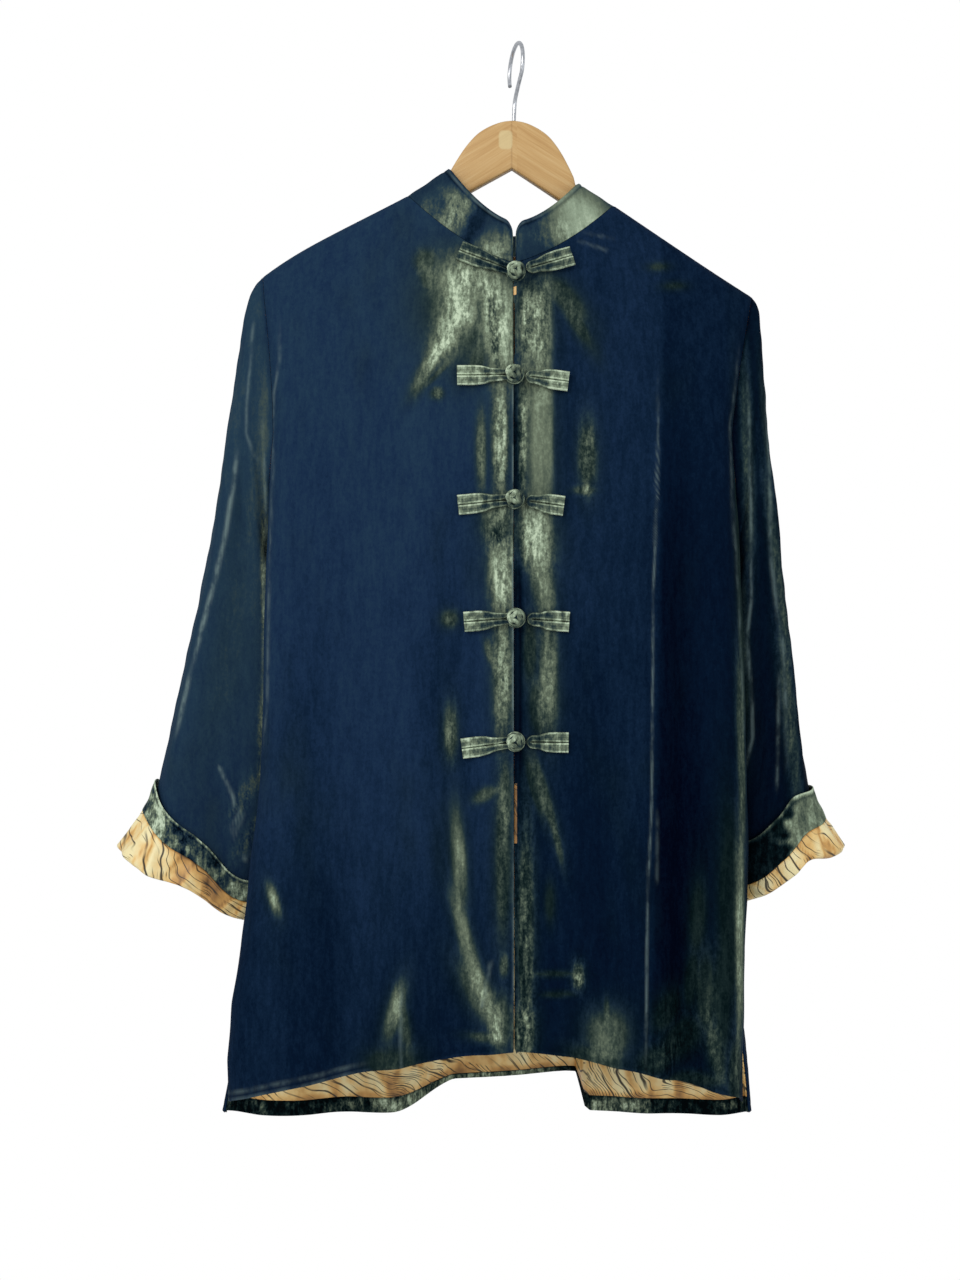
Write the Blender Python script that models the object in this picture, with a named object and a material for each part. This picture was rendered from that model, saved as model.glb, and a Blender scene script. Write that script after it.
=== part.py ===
"""A velvet tang jacket hanging on a flat wooden hanger.

Metres, +Z up, the front of the jacket towards -Y, the wearer's right sleeve towards -X.
The origin is the inside top of the hanger's hook, where a rail would carry it.
Every piece of cloth is a thin wall: a grid of points on its outer face, and the same grid moved in.
"""

import math
from collections import namedtuple

import bpy
import numpy as np

# ---------------------------------------------------------------- driving sizes
SEAM = 0.0003            # gap between pieces that are sewn to each other
CLOTH = 0.0018           # velvet with its lining
LINING = 0.0010
BAND = 0.0024            # collar band, doubled cloth
CF_X = -0.0032           # the centre front hangs this far beside the hook

# shoulders: two straight lines that meet in a virtual apex above the neck
APEX_X, APEX_Z = -0.0035, -0.0860
SHOULDER_SLOPE = {-1: 0.5509, 1: 0.6631}
SHOULDER_HALF = {-1: 0.2315, 1: 0.2190}
SHOULDER_BOW = {-1: 0.0040, 1: -0.0008}
RIDGE = 0.010            # radius of the fold over the hanger's edge
SWELL = 0.110            # the cloth reaches its full depth over about this fall

# neckline
NECK_SHARE = 0.425       # share of the shoulder width that the neck takes
NECK_FRONT_Z, NECK_BACK_Z = -0.2090, -0.1870
NECK_FRONT_BEND, NECK_BACK_BEND = 0.55, 1.7
FRONT_GAP = 0.0016       # half the slit between the two fronts

# armholes, side vents and hems
ARMPIT_SHARE = 0.304     # how far down the back's side edge the armhole ends
ARMHOLE_CUT, ARMHOLE_TURN = 0.80, 0.40  # its depth as a share of the panel's, and where it is reached
VENT_TOP_Z, VENT_HEIGHT = -0.858, 0.110
VENT_OPEN = {"front": 0.014, "back": 0.026}
FRONT_HEM_Z, FRONT_HEM_DROP = -0.9050, 0.0620
FRONT_HEM_BEND = 1.4
BACK_HEM_Z, BACK_HEM_SAG, BACK_HEM_SIDE = -0.9960, 0.0040, 0.0090
BACK_HEM_SAG_AT, BACK_HEM_SAG_WIDTH, BACK_HEM_SIDE_AT = 0.72, 0.18, 0.80
FACING_HEIGHT = {"front": 0.016, "back": 0.0145, "box_fold": 0.005}
LINING_ROWS = 6          # rows of the back that show their lining

# the body's outline: half widths of the front's two edges, front and back depth,
# and how far each side seam lies inside the front's edge
Level = namedtuple("Level", "z right left front back inset_right inset_left")
LEVELS = (
    Level(-0.200, 0.2315, 0.2190, 0.056, 0.042, 0.000, 0.000),
    Level(-0.235, 0.2300, 0.2190, 0.056, 0.042, 0.000, 0.000),
    Level(-0.300, 0.2240, 0.2080, 0.057, 0.044, 0.008, 0.008),
    Level(-0.360, 0.2205, 0.2000, 0.059, 0.045, 0.012, 0.012),
    Level(-0.420, 0.2215, 0.2008, 0.060, 0.046, 0.013, 0.013),
    Level(-0.510, 0.2245, 0.2042, 0.063, 0.048, 0.014, 0.014),
    Level(-0.600, 0.2255, 0.2082, 0.066, 0.050, 0.014, 0.014),
    Level(-0.672, 0.2285, 0.2086, 0.069, 0.052, 0.015, 0.015),
    Level(-0.735, 0.2355, 0.2096, 0.071, 0.053, 0.015, 0.014),
    Level(-0.780, 0.2395, 0.2080, 0.073, 0.055, 0.014, 0.011),
    Level(-0.820, 0.2440, 0.2052, 0.074, 0.056, 0.010, 0.005),
    Level(-0.869, 0.2515, 0.2040, 0.075, 0.057, 0.004, -0.003),
    Level(-0.920, 0.2552, 0.2025, 0.076, 0.058, -0.002, -0.008),
    Level(-0.990, 0.2540, 0.2005, 0.077, 0.058, -0.0095, -0.0120),
)
CORNER, CORNER_SHARE = 0.026, 0.62      # radius of a side fold, at most this share of the depth
CROWN, CROWN_DEPTH = 0.007, 0.060       # the panels bulge this much where they are this deep
FLAT_SHARE = 0.86                       # share of a front that lies between its centre line and its fold

# soft folds: centre line from its top to its foot, half width, and height (out is plus)
Fold = namedtuple("Fold", "x_top z_top x_foot z_foot width height")
FRONT_FOLDS = {
    -1: (
        Fold(-0.060, -0.240, -0.090, -0.480, 0.026, 0.0040),
        Fold(-0.105, -0.860, -0.108, -0.960, 0.016, 0.0070),
        Fold(-0.060, -0.780, -0.016, -0.930, 0.016, 0.0060),
        Fold(-0.165, -0.420, -0.185, -0.960, 0.030, 0.0050),
        Fold(-0.135, -0.500, -0.145, -0.960, 0.022, -0.0045),
    ),
    1: (
        Fold(0.126, -0.330, 0.122, -0.980, 0.015, 0.0080),
        Fold(0.149, -0.330, 0.146, -0.980, 0.015, -0.0085),
        Fold(0.176, -0.620, 0.178, -0.980, 0.016, 0.0050),
        Fold(0.070, -0.760, 0.088, -0.960, 0.016, 0.0060),
        Fold(0.045, -0.820, 0.052, -0.960, 0.014, -0.0050),
    ),
}
BACK_FOLDS = (
    Fold(-0.150, -0.300, -0.170, -0.998, 0.026, 0.0060),
    Fold(-0.115, -0.380, -0.128, -0.998, 0.022, -0.0060),
    Fold(-0.050, -0.260, -0.055, -0.720, 0.026, 0.0040),
    Fold(0.055, -0.300, 0.045, -0.720, 0.026, 0.0045),
    Fold(0.150, -0.340, 0.165, -0.998, 0.024, 0.0065),
    Fold(0.120, -0.420, 0.118, -0.998, 0.020, -0.0050),
)
# the middle of the back hangs further behind, and a little higher
BOX_FOLD_LEFT, BOX_FOLD_RIGHT = -0.118, 0.071
BOX_FOLD_SLOPE, BOX_FOLD_STEP = 0.060, 0.009
BOX_FOLD_DEPTH, BOX_FOLD_RISE, BOX_FOLD_TILT = 0.036, 0.028, 0.28
BOX_FOLD_TOP_Z, BOX_FOLD_HEIGHT = -0.560, 0.420
BOX_FOLD_TILT_FROM, BOX_FOLD_TILT_WIDTH = -0.070, 0.120

# sleeves: outer and inner edge of each section, and its depth either side of the seam plane
Station = namedtuple("Station", "out_x out_z in_x in_z middle_y depth")
SLEEVES = {
    -1: (
        Station(-0.2450, -0.232, -0.2160, -0.4545, 0.000, 0.027),
        Station(-0.2525, -0.264, -0.2195, -0.4590, 0.003, 0.031),
        Station(-0.2620, -0.320, -0.2220, -0.4670, 0.007, 0.035),
        Station(-0.2700, -0.373, -0.2230, -0.4800, 0.012, 0.038),
        Station(-0.2780, -0.426, -0.2222, -0.5020, 0.017, 0.042),
        Station(-0.2890, -0.482, -0.2205, -0.5410, 0.022, 0.044),
        Station(-0.3040, -0.548, -0.2200, -0.5970, 0.025, 0.044),
        Station(-0.3195, -0.612, -0.2225, -0.6610, 0.027, 0.042),
        Station(-0.3335, -0.678, -0.2300, -0.7290, 0.029, 0.038),
        Station(-0.3505, -0.742, -0.2370, -0.8000, 0.031, 0.034),
    ),
    1: (
        Station(0.2222, -0.247, 0.1915, -0.4665, 0.000, 0.027),
        Station(0.2245, -0.276, 0.1940, -0.4700, 0.003, 0.031),
        Station(0.2275, -0.328, 0.1960, -0.4770, 0.007, 0.035),
        Station(0.2330, -0.375, 0.1970, -0.4890, 0.012, 0.038),
        Station(0.2400, -0.425, 0.1970, -0.5090, 0.017, 0.042),
        Station(0.2465, -0.477, 0.1965, -0.5420, 0.022, 0.044),
        Station(0.2530, -0.544, 0.1965, -0.5960, 0.025, 0.044),
        Station(0.2620, -0.612, 0.1968, -0.6550, 0.027, 0.042),
        Station(0.2695, -0.672, 0.1970, -0.7120, 0.028, 0.038),
        Station(0.2890, -0.743, 0.2000, -0.7840, 0.029, 0.034),
    ),
}
SECTION_POWER = 0.85     # a section is this much squarer than an ellipse
ARMHOLE_LEAN = 0.45      # at the armhole its front lies further out than its back, most at the armpit
# how far the mouth droops (plus) near the outer edge, and nearer the inner edge
DROOP = {-1: (0.0070, 0.0090), 1: (-0.0080, 0.0040)}
DROOP_AT, DROOP_WIDTH, DROOP_START = (0.75, 0.28), 0.18, 8.5
# soft creases along a sleeve: angle round it at the top and the cuff, half width, height
Crease = namedtuple("Crease", "angle_top angle_cuff width height start")
CREASES = {
    -1: (
        Crease(0.16, 0.14, 0.050, 0.0050, 0.15),
        Crease(0.26, 0.26, 0.060, -0.0060, 0.20),
        Crease(0.40, 0.38, 0.050, 0.0050, 0.30),
        Crease(0.66, 0.62, 0.060, 0.0050, 0.20),
        Crease(0.78, 0.76, 0.060, -0.0050, 0.20),
    ),
    1: (
        Crease(0.20, 0.12, 0.045, 0.0050, 0.24),
        Crease(0.30, 0.20, 0.055, -0.0060, 0.32),
        Crease(0.40, 0.32, 0.055, 0.0060, 0.38),
        Crease(0.64, 0.64, 0.060, 0.0050, 0.26),
        Crease(0.76, 0.78, 0.060, -0.0050, 0.28),
    ),
}

# turned-back cuffs: how far each is turned up at the sleeve's outer and inner edge,
# how much of that is lining, and how far the fold stands off the sleeve
Cuff = namedtuple("Cuff", "turn_out turn_in turn_power lining_out lining_in lining_power flare")
CUFFS = {
    -1: Cuff(0.067, 0.028, 1.6, 0.038, 0.008, 1.2, 0.0180),
    1: Cuff(0.060, 0.046, 1.0, 0.029, 0.008, 1.4, 0.0125),
}
CUFF_STANDOFF, CUFF_FLARE_INNER = 0.0030, 0.0040
CUFF_INNER_GAP, CUFF_INNER_RISE = 0.0010, 0.0160
CUFF_FOLD_DROP = 0.0045

# collar: rise of the band from the neck seam, at the centre front, the sides and the back
COLLAR_RISE = {
    "front": (0.000, 0.004, 0.0365),
    "side_right": (0.0372, 0.0, 0.0250),
    "side_left": (-0.0319, 0.0, 0.0203),
    "back": (0.000, 0.025, 0.0230),
}
COLLAR_END_RADIUS = 0.013
COLLAR_BACK_ROUND = 1.6

# frog fasteners: the knot's place, and the outer ends of its two arms
Frog = namedtuple("Frog", "knot_x knot_z right_x right_z left_x left_z")
FROGS = (
    Frog(-0.0022, -0.2185, -0.0525, -0.1975, 0.0488, -0.2022),
    Frog(-0.0036, -0.3113, -0.0543, -0.3122, 0.0444, -0.3174),
    Frog(-0.0036, -0.4223, -0.0534, -0.4276, 0.0400, -0.4284),
    Frog(-0.0026, -0.5271, -0.0481, -0.5306, 0.0444, -0.5306),
    Frog(-0.0032, -0.6355, -0.0499, -0.6416, 0.0435, -0.6363),
)
KNOT_RADIUS = 0.0085
KNOT_LIFT = 0.0065       # the ball's middle stands this far above the loop
CORD_WIDTH, CORD_THICK = 0.0086, 0.0034
LOOP_RADIUS, LOOP_WIDTH = 0.0070, 0.0036
LOOP_CLEAR, STEM_CLEAR = 0.0060, 0.0075
LOOP_END = math.radians(152)
ARM_SPREAD_END, ARM_SPREAD_KNOT = 0.0046, 0.0029

# hanger
TILT = math.radians(2.35)
WOOD_EDGE = ((-0.0060, 0.0026), (-0.0049, 0.0010), (-0.0026, 0.0))
WOOD_TOP_Z = -0.0700
WOOD_DOME = ((0.009, -0.0710), (0.017, -0.0737), (0.025, -0.0777), (0.033, -0.0835), (0.041, -0.0926),
             (0.0484, -0.1038), (0.0568, -0.1192), (0.0608, -0.1292), (0.078, -0.1400))
WOOD_DROP = 0.0036       # the wood's edge lies this far under the cloth
NOTCH_Z = -0.1140
ARM_HALF = 0.2200
ARM_DEPTH, ARM_TIP_RADIUS = 0.0240, 0.0110
HOOK_WIRE, HOOK_RADIUS = 0.0036, 0.0220
HOOK_TURN = math.radians(75)

# where the grids have their columns and rows, as shares of the panel
FRONT_COLUMNS = (0, 0.07, 0.14, 0.21, 0.28, 0.35, 0.405, NECK_SHARE,
                 0.475, 0.525, 0.575, 0.63, 0.69, 0.76, 0.83, 0.91, 1)
BACK_COLUMNS = (0, 0.07, 0.14, 0.20, 0.245, 0.28, 0.345, 0.405, NECK_SHARE,
                0.50, 0.58, 0.66, 0.74, 0.82, 0.91, 1)
ARMHOLE_ROWS = (0, 0.004, 0.015, 0.034, 0.065, 0.11, 0.18, 0.27, 0.37, 0.48, 0.60, 0.73, 0.86, 1)
SKIRT_ROWS = 11
SLEEVE_PLACES = (0, 0.5, 1, 1.6, 2.3, 3, 3.8, 4.6, 5.4, 6.2, 7, 7.8, 8.6, 9.3, 10)
SLEEVE_EVEN_FROM, SLEEVE_EVEN_AT = 1, 5   # between these sections the points spread evenly round the sleeve

PAINT = {
    "velvet": ((0.010, 0.028, 0.045), 0.55, 0.0),
    "lining": ((0.62, 0.40, 0.14), 0.50, 0.0),
    "wood": ((0.62, 0.38, 0.16), 0.45, 0.0),
    "wire": ((0.70, 0.71, 0.73), 0.25, 1.0),
}


# ---------------------------------------------------------------- scene helpers
def clear_scene():
    for obj in list(bpy.data.objects):
        bpy.data.objects.remove(obj)


def material(name):
    found = bpy.data.materials.get(name)
    if found:
        return found
    colour, roughness, metallic = PAINT[name]
    made = bpy.data.materials.new(name)
    made.use_nodes = True
    shader = made.node_tree.nodes["Principled BSDF"]
    shader.inputs["Base Color"].default_value = (*colour, 1.0)
    shader.inputs["Roughness"].default_value = roughness
    shader.inputs["Metallic"].default_value = metallic
    return made


def add_object(name, points, faces, paint):
    """One named object. Its faces are turned to point outwards."""
    points = np.asarray(points, float)
    corners = [points[[f[0], f[i], f[i + 1]]] for f in faces for i in range(1, len(f) - 1)]
    volume = sum(np.dot(a, np.cross(b, c)) for a, b, c in corners)
    if volume < 0:
        faces = [tuple(reversed(f)) for f in faces]
    mesh = bpy.data.meshes.new(name)
    mesh.from_pydata(points.tolist(), [], faces)
    mesh.materials.append(material(paint))
    mesh.shade_smooth()
    mesh.set_sharp_from_angle(angle=math.radians(50))
    obj = bpy.data.objects.new(name, mesh)
    bpy.context.scene.collection.objects.link(obj)
    return obj


def wall(name, outer, inner, paint, tube=False):
    """A closed wall between two grids of points, rows by columns. A tube's columns wrap round."""
    rows, columns = outer.shape[:2]
    inside = rows * columns
    spans = columns if tube else columns - 1

    def at(row, column, face):
        return face * inside + row * columns + column % columns

    faces = []
    for row in range(rows - 1):
        for column in range(spans):
            a, b = at(row, column, 0), at(row, column + 1, 0)
            d, c = at(row + 1, column, 0), at(row + 1, column + 1, 0)
            for triangle in ((a, b, c), (a, c, d)):
                faces.append(triangle)
                faces.append(tuple(inside + i for i in reversed(triangle)))
    for row in (0, rows - 1):
        for column in range(spans):
            rim = (at(row, column, 0), at(row, column, 1), at(row, column + 1, 1), at(row, column + 1, 0))
            faces.append(rim if row == 0 else tuple(reversed(rim)))
    if not tube:
        for column in (0, columns - 1):
            for row in range(rows - 1):
                rim = (at(row, column, 0), at(row + 1, column, 0), at(row + 1, column, 1), at(row, column, 1))
                faces.append(rim if column == 0 else tuple(reversed(rim)))
    points = np.concatenate([outer.reshape(-1, 3), inner.reshape(-1, 3)])
    return add_object(name, points, faces, paint)


def grid_normals(grid, away, tube=False):
    """Unit normals of a grid of points, on the side of `away` (an array of directions)."""
    if tube:
        across = np.roll(grid, -1, axis=1) - np.roll(grid, 1, axis=1)
    else:
        across = np.gradient(grid, axis=1)
    along = np.gradient(grid, axis=0)
    normal = np.cross(across, along)
    normal /= np.maximum(np.linalg.norm(normal, axis=-1, keepdims=True), 1e-12)
    facing = np.sum(normal * away, axis=-1, keepdims=True)
    return np.where(facing < 0, -normal, normal)


def smooth(share):
    """Rises from 0 to 1 with level ends."""
    share = np.clip(share, 0.0, 1.0)
    return share * share * (3.0 - 2.0 * share)


def bump(value, centre, width):
    """A soft bump of height 1."""
    return np.exp(-(((value - centre) / width) ** 2))


# ---------------------------------------------------------------- body surface
def level(field, z):
    heights = [row.z for row in reversed(LEVELS)]
    values = [getattr(row, field) for row in reversed(LEVELS)]
    return np.interp(z, heights, values)


def half_width(side, z):
    return level("right" if side < 0 else "left", z)


def shoulder_z(side, x):
    """Height of the shoulder line over x, drawn on across the neck."""
    out = np.abs(x - APEX_X)
    share = np.clip(out / SHOULDER_HALF[side], 0.0, 1.0)
    return APEX_Z - SHOULDER_SLOPE[side] * out + SHOULDER_BOW[side] * np.sin(np.pi * share**3)


def neck_curve(share):
    return (1.0 - NECK_FRONT_BEND) * share + NECK_FRONT_BEND * share**2


def tip_z(side):
    return float(shoulder_z(side, CF_X + side * SHOULDER_HALF[side]))


def armpit_z(side):
    return tip_z(side) - ARMPIT_SHARE * (tip_z(side) - BACK_HEM_Z)


def top_z(face, side, s):
    """Height of a panel's upper edge: the neckline, then the shoulder seam."""
    neck_x = CF_X + side * NECK_SHARE * SHOULDER_HALF[side]
    neck_point = shoulder_z(side, neck_x)
    share = np.clip(s / NECK_SHARE, 0.0, 1.0)
    if face == "front":
        neckline = NECK_FRONT_Z + (neck_point - NECK_FRONT_Z) * neck_curve(share)
    else:
        neckline = NECK_BACK_Z + (neck_point - NECK_BACK_Z) * share**NECK_BACK_BEND
    seam = shoulder_z(side, CF_X + side * s * SHOULDER_HALF[side])
    return np.where(s < NECK_SHARE, neckline, seam)


def box_fold(x):
    """1 across the middle of the back, 0 beside it: a slow rise, and a sharp edge."""
    left = smooth((x - BOX_FOLD_LEFT) / BOX_FOLD_SLOPE)
    return left * smooth((BOX_FOLD_RIGHT - x) / BOX_FOLD_STEP)


def hem_z(face, side, s):
    if face == "front":
        return FRONT_HEM_Z - FRONT_HEM_DROP * s**FRONT_HEM_BEND
    x = back_hem_x(side, s)
    tilt = 1.0 - BOX_FOLD_TILT * (1.0 - np.clip((x - BOX_FOLD_TILT_FROM) / BOX_FOLD_TILT_WIDTH, 0.0, 1.0))
    sag = BACK_HEM_SAG * bump(s, BACK_HEM_SAG_AT, BACK_HEM_SAG_WIDTH)
    rise = BACK_HEM_SIDE * smooth((s - BACK_HEM_SIDE_AT) / (1.0 - BACK_HEM_SIDE_AT))
    return BACK_HEM_Z - sag + rise + BOX_FOLD_RISE * tilt * box_fold(x)


def back_hem_x(side, s):
    return body_point("back", side, s, np.full(np.shape(s), BACK_HEM_Z))[..., 0]


def facing_z(face, side, s):
    """Height of the seam between the lining and the hem's facing."""
    height = FACING_HEIGHT[face]
    if face == "back":
        height = height + (FACING_HEIGHT["box_fold"] - height) * box_fold(back_hem_x(side, s))
    return hem_z(face, side, s) + height


def depth_at(face, side, s, z):
    """Depth of the cloth in front of, or behind, the hanger."""
    fall = np.maximum(shoulder_z(side, CF_X + side * s * SHOULDER_HALF[side]) - z, 0.0)
    ridge = np.where(fall < RIDGE, np.sqrt(np.maximum(2 * RIDGE * fall - fall**2, 0.0)), RIDGE)
    full = level(face, z)
    return ridge + (full - RIDGE) * (1.0 - np.exp(-fall / SWELL))


def edge_cut(face, side, z, depth):
    """How far short of the side seam's plane a panel stops: armhole above, vent below."""
    up_armhole = (z - armpit_z(side)) / (tip_z(side) - armpit_z(side))
    armhole = ARMHOLE_CUT * depth * np.sin(0.5 * np.pi * np.clip(up_armhole / ARMHOLE_TURN, 0.0, 1.0))
    vent = VENT_OPEN[face] * smooth((VENT_TOP_Z - z) / VENT_HEIGHT)
    return armhole + vent


def body_point(face, side, s, z):
    """Outer face of a panel, s from the centre line (0) to its side edge (1), at height z."""
    depth = depth_at(face, side, s, z)
    inset = level("inset_right" if side < 0 else "inset_left", z)
    width = half_width(side, z) - (0.0 if face == "front" else 2 * inset)
    seam_x = half_width(side, z) - inset
    corner = np.clip(CORNER_SHARE * depth, 1e-6, CORNER)
    flat = width - corner
    turn = 0.5 * np.pi * corner
    flank = np.hypot(depth - corner, width - seam_x)
    end = flat + turn + flank - edge_cut(face, side, z, depth)
    along = end * s
    if face == "front":
        along = along + FRONT_GAP * np.clip(1.0 - s / NECK_SHARE, 0.0, 1.0)
    angle = np.clip((along - flat) / corner, 0.0, 0.5 * np.pi)
    down_flank = np.clip((along - flat - turn) / np.maximum(flank, 1e-6), 0.0, 1.0)
    x = np.minimum(along, flat) + corner * np.sin(angle) + (seam_x - width) * down_flank
    y = depth - corner * (1.0 - np.cos(angle)) - (depth - corner) * down_flank
    y = y + CROWN * (depth / CROWN_DEPTH) * np.maximum(1.0 - (x / width) ** 2, 0.0) * (1.0 - down_flank)
    sign = -1.0 if face == "front" else 1.0
    return np.stack([CF_X + side * x, sign * (SEAM / 2 + y), z], axis=-1)


def fold_height(folds, x, z, s):
    """Height of the soft folds at x, z. They die away at the seams."""
    total = np.zeros_like(x)
    for fold in folds:
        share = (fold.z_top - z) / (fold.z_top - fold.z_foot)
        centre = fold.x_top + (fold.x_foot - fold.x_top) * np.clip(share, 0.0, 1.2)
        fade = smooth(share / 0.35)
        total += fold.height * fade * bump(x, centre, fold.width)
    return total * smooth((1.0 - np.abs(s)) / 0.12)


def panel_heights(face, side, s):
    """Heights of a panel's rows: close together over the shoulder, one at the armpit, one at the facing."""
    top, hem = top_z(face, side, s), hem_z(face, side, s)
    fall = tip_z(side) - float(hem_z(face, side, np.array(1.0)))
    armpit = (tip_z(side) - armpit_z(side)) / fall
    upper = top - armpit * np.array(ARMHOLE_ROWS)[:, None] * (top - hem)
    steps = np.linspace(0.0, 1.0, SKIRT_ROWS + 1)[1:, None]
    skirt = upper[-1] + steps * (facing_z(face, side, s) - upper[-1])
    return np.concatenate([upper, skirt, hem[None]])


def back_swing(x, z):
    """How far the box fold takes the middle of the back behind the rest."""
    return BOX_FOLD_DEPTH * box_fold(x) * smooth((BOX_FOLD_TOP_Z - z) / BOX_FOLD_HEIGHT)


def panel_grid(face, side, columns):
    """Points of a front, or of one half of the back, before its folds."""
    columns = np.array(columns, float)
    z = panel_heights(face, side, columns)
    s = np.tile(columns, (len(z), 1))
    return s, body_point(face, side, s, z)


def folded_grid(base, s, folds):
    """The panel with its folds, and its normals. At a seam the wall ends square to it."""
    away = np.stack([base[..., 0] - CF_X, base[..., 1], np.full(s.shape, 0.06)], axis=-1)
    normal = grid_normals(base, away)
    grid = base + normal * fold_height(folds, base[..., 0], base[..., 2], s)[..., None]
    grid[..., 1] += np.where(base[..., 1] > 0, back_swing(base[..., 0], base[..., 2]), 0.0)
    normal = grid_normals(grid, away)
    normal[0, np.abs(s[0]) >= NECK_SHARE, 1] = 0.0
    for column in (0, -1):
        if abs(s[0, column]) == 1.0:
            normal[len(ARMHOLE_ROWS) - 1 :, column, 1] = 0.0
    return grid, normal / np.linalg.norm(normal, axis=-1, keepdims=True)


def front_grid(side):
    s, base = panel_grid("front", side, FRONT_COLUMNS)
    return folded_grid(base, s, FRONT_FOLDS[side])


def back_grid():
    s_right, right = panel_grid("back", -1, BACK_COLUMNS)
    s_left, left = panel_grid("back", 1, BACK_COLUMNS)
    base = np.concatenate([right[:, ::-1], left[:, 1:]], axis=1)
    s = np.concatenate([-s_right[:, ::-1], s_left[:, 1:]], axis=1)
    return folded_grid(base, s, BACK_FOLDS)


def moved(grid, normal, distance):
    return grid + normal * distance


# ---------------------------------------------------------------- cloth pieces
def build_fronts():
    for side, name in ((-1, "front_right"), (1, "front_left")):
        outer, normal = front_grid(side)
        wall(name, outer, moved(outer, normal, -CLOTH), "velvet")


def build_back():
    outer, normal = back_grid()
    wall("back", outer, moved(outer, normal, -CLOTH), "velvet")
    inside = CLOTH + SEAM
    strip = slice(-2 - LINING_ROWS, -1)
    lining, lining_normal = outer[strip], normal[strip]
    near, far = moved(lining, lining_normal, -inside), moved(lining, lining_normal, -inside - LINING)
    wall("back_lining", near, far, "lining")
    step = SEAM / np.linalg.norm(outer[-1] - outer[-2], axis=-1, keepdims=True)
    facing = np.stack([outer[-2] + (outer[-1] - outer[-2]) * step, outer[-1]])
    near, far = moved(facing, normal[-2:], -inside), moved(facing, normal[-2:], -inside - LINING)
    wall("back_hem_facing", near, far, "velvet")


def armhole_loop(side):
    """Points round the armhole: shoulder tip, down the front's edge, armpit, up the back's edge."""
    last = len(ARMHOLE_ROWS) - 1
    front = front_grid(side)[0][: last + 1, -1]
    back = back_grid()[0][: last + 1, 0 if side < 0 else -1]
    ends = 0.5 * (front[[0, last]] + back[[0, last]])
    return np.concatenate([ends[:1], front[1:last], ends[1:], back[1:last][::-1]])


def ring_turns(even):
    """Angles of a section's points: spaced as the armhole's rows are (0), to evenly (1)."""
    front = np.arccos(1.0 - 2.0 * np.array(ARMHOLE_ROWS))
    spaced = np.concatenate([front, 2 * np.pi - front[-2:0:-1]])
    return (1.0 - even) * spaced + even * np.linspace(0.0, 2 * np.pi, len(spaced), endpoint=False)


def sleeve_ring(side, station, even):
    """An oval section: angle 0 at the outer edge, a quarter turn at the front, half at the inner edge."""
    turn = ring_turns(even)
    outer = np.array([station.out_x, station.middle_y, station.out_z])
    inner = np.array([station.in_x, station.middle_y, station.in_z])
    middle, arm = (outer + inner) / 2, (outer - inner) / 2
    across = np.sign(np.cos(turn)) * np.abs(np.cos(turn)) ** SECTION_POWER
    deep = np.sign(np.sin(turn)) * np.abs(np.sin(turn)) ** SECTION_POWER
    ring = middle + across[:, None] * arm + deep[:, None] * np.array([0.0, -station.depth, 0.0])
    lean = ARMHOLE_LEAN * (1.0 - even) * 0.5 * (1.0 - across)
    ring[:, 0] += side * lean * (station.middle_y - ring[:, 1])
    return ring


def sleeve_grid(side, places=SLEEVE_PLACES):
    """Outer points of a sleeve, armhole first. Rings between the stations follow a smooth curve."""
    armhole = armhole_loop(side)
    armhole[:, 0] += side * SEAM
    count, rings = len(armhole), len(places)
    stations = np.arange(len(SLEEVES[side])) + 1
    even = np.clip((stations - SLEEVE_EVEN_FROM) / (SLEEVE_EVEN_AT - SLEEVE_EVEN_FROM), 0, 1)
    sections = [sleeve_ring(side, station, share) for station, share in zip(SLEEVES[side], even)]
    knots = np.stack([armhole] + sections)
    place = np.array(places, float)
    grid = np.stack([catmull_rom(knots, at) for at in place])
    outward = 0.5 + 0.5 * np.cos(2 * np.pi * np.arange(count) / count)
    droop = sum(drop * bump(outward, at, DROOP_WIDTH) for drop, at in zip(DROOP[side], DROOP_AT))
    grid[..., 2] -= droop * smooth((place[:, None] - DROOP_START) / (place[-1] - DROOP_START))
    centre = grid.mean(axis=1, keepdims=True)
    normal = grid_normals(grid, grid - centre, tube=True)
    turn = np.arange(count)[None, :] / count
    share = (place / place[-1])[:, None]
    height = np.zeros((rings, count))
    for crease in CREASES[side]:
        angle = crease.angle_top + (crease.angle_cuff - crease.angle_top) * share
        fade = smooth((share - crease.start) / 0.25)
        height += crease.height * fade * bump(turn, angle, crease.width)
    height *= 1.0 - 0.7 * smooth((share - 0.86) / 0.10)
    folded = grid + normal * height[..., None]
    return folded, grid_normals(folded, folded - centre, tube=True)


def catmull_rom(knots, at):
    index = min(int(at), len(knots) - 2)
    share = at - index
    before, here = knots[max(index - 1, 0)], knots[index]
    after, beyond = knots[index + 1], knots[min(index + 2, len(knots) - 1)]
    return 0.5 * (
        2 * here
        + (after - before) * share
        + (2 * before - 5 * here + 4 * after - beyond) * share**2
        + (3 * here - before - 3 * after + beyond) * share**3
    )


def inner_sleeve(outer, normal):
    """The wall's inside. Its first ring is shared with the panels' own inner edge."""
    inner = moved(outer, normal, -CLOTH)
    centre = outer[0].mean(axis=0)
    toward = centre - outer[0]
    toward[:, 0] = 0.0
    toward /= np.linalg.norm(toward, axis=1, keepdims=True)
    inner[0] = outer[0] + toward * CLOTH
    return inner


def build_sleeves():
    for side, name in ((-1, "sleeve_right"), (1, "sleeve_left")):
        outer, normal = sleeve_grid(side)
        wall(name, outer, inner_sleeve(outer, normal), "velvet", tube=True)
        build_cuff(side, name.replace("sleeve", "cuff"), outer, normal)


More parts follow.
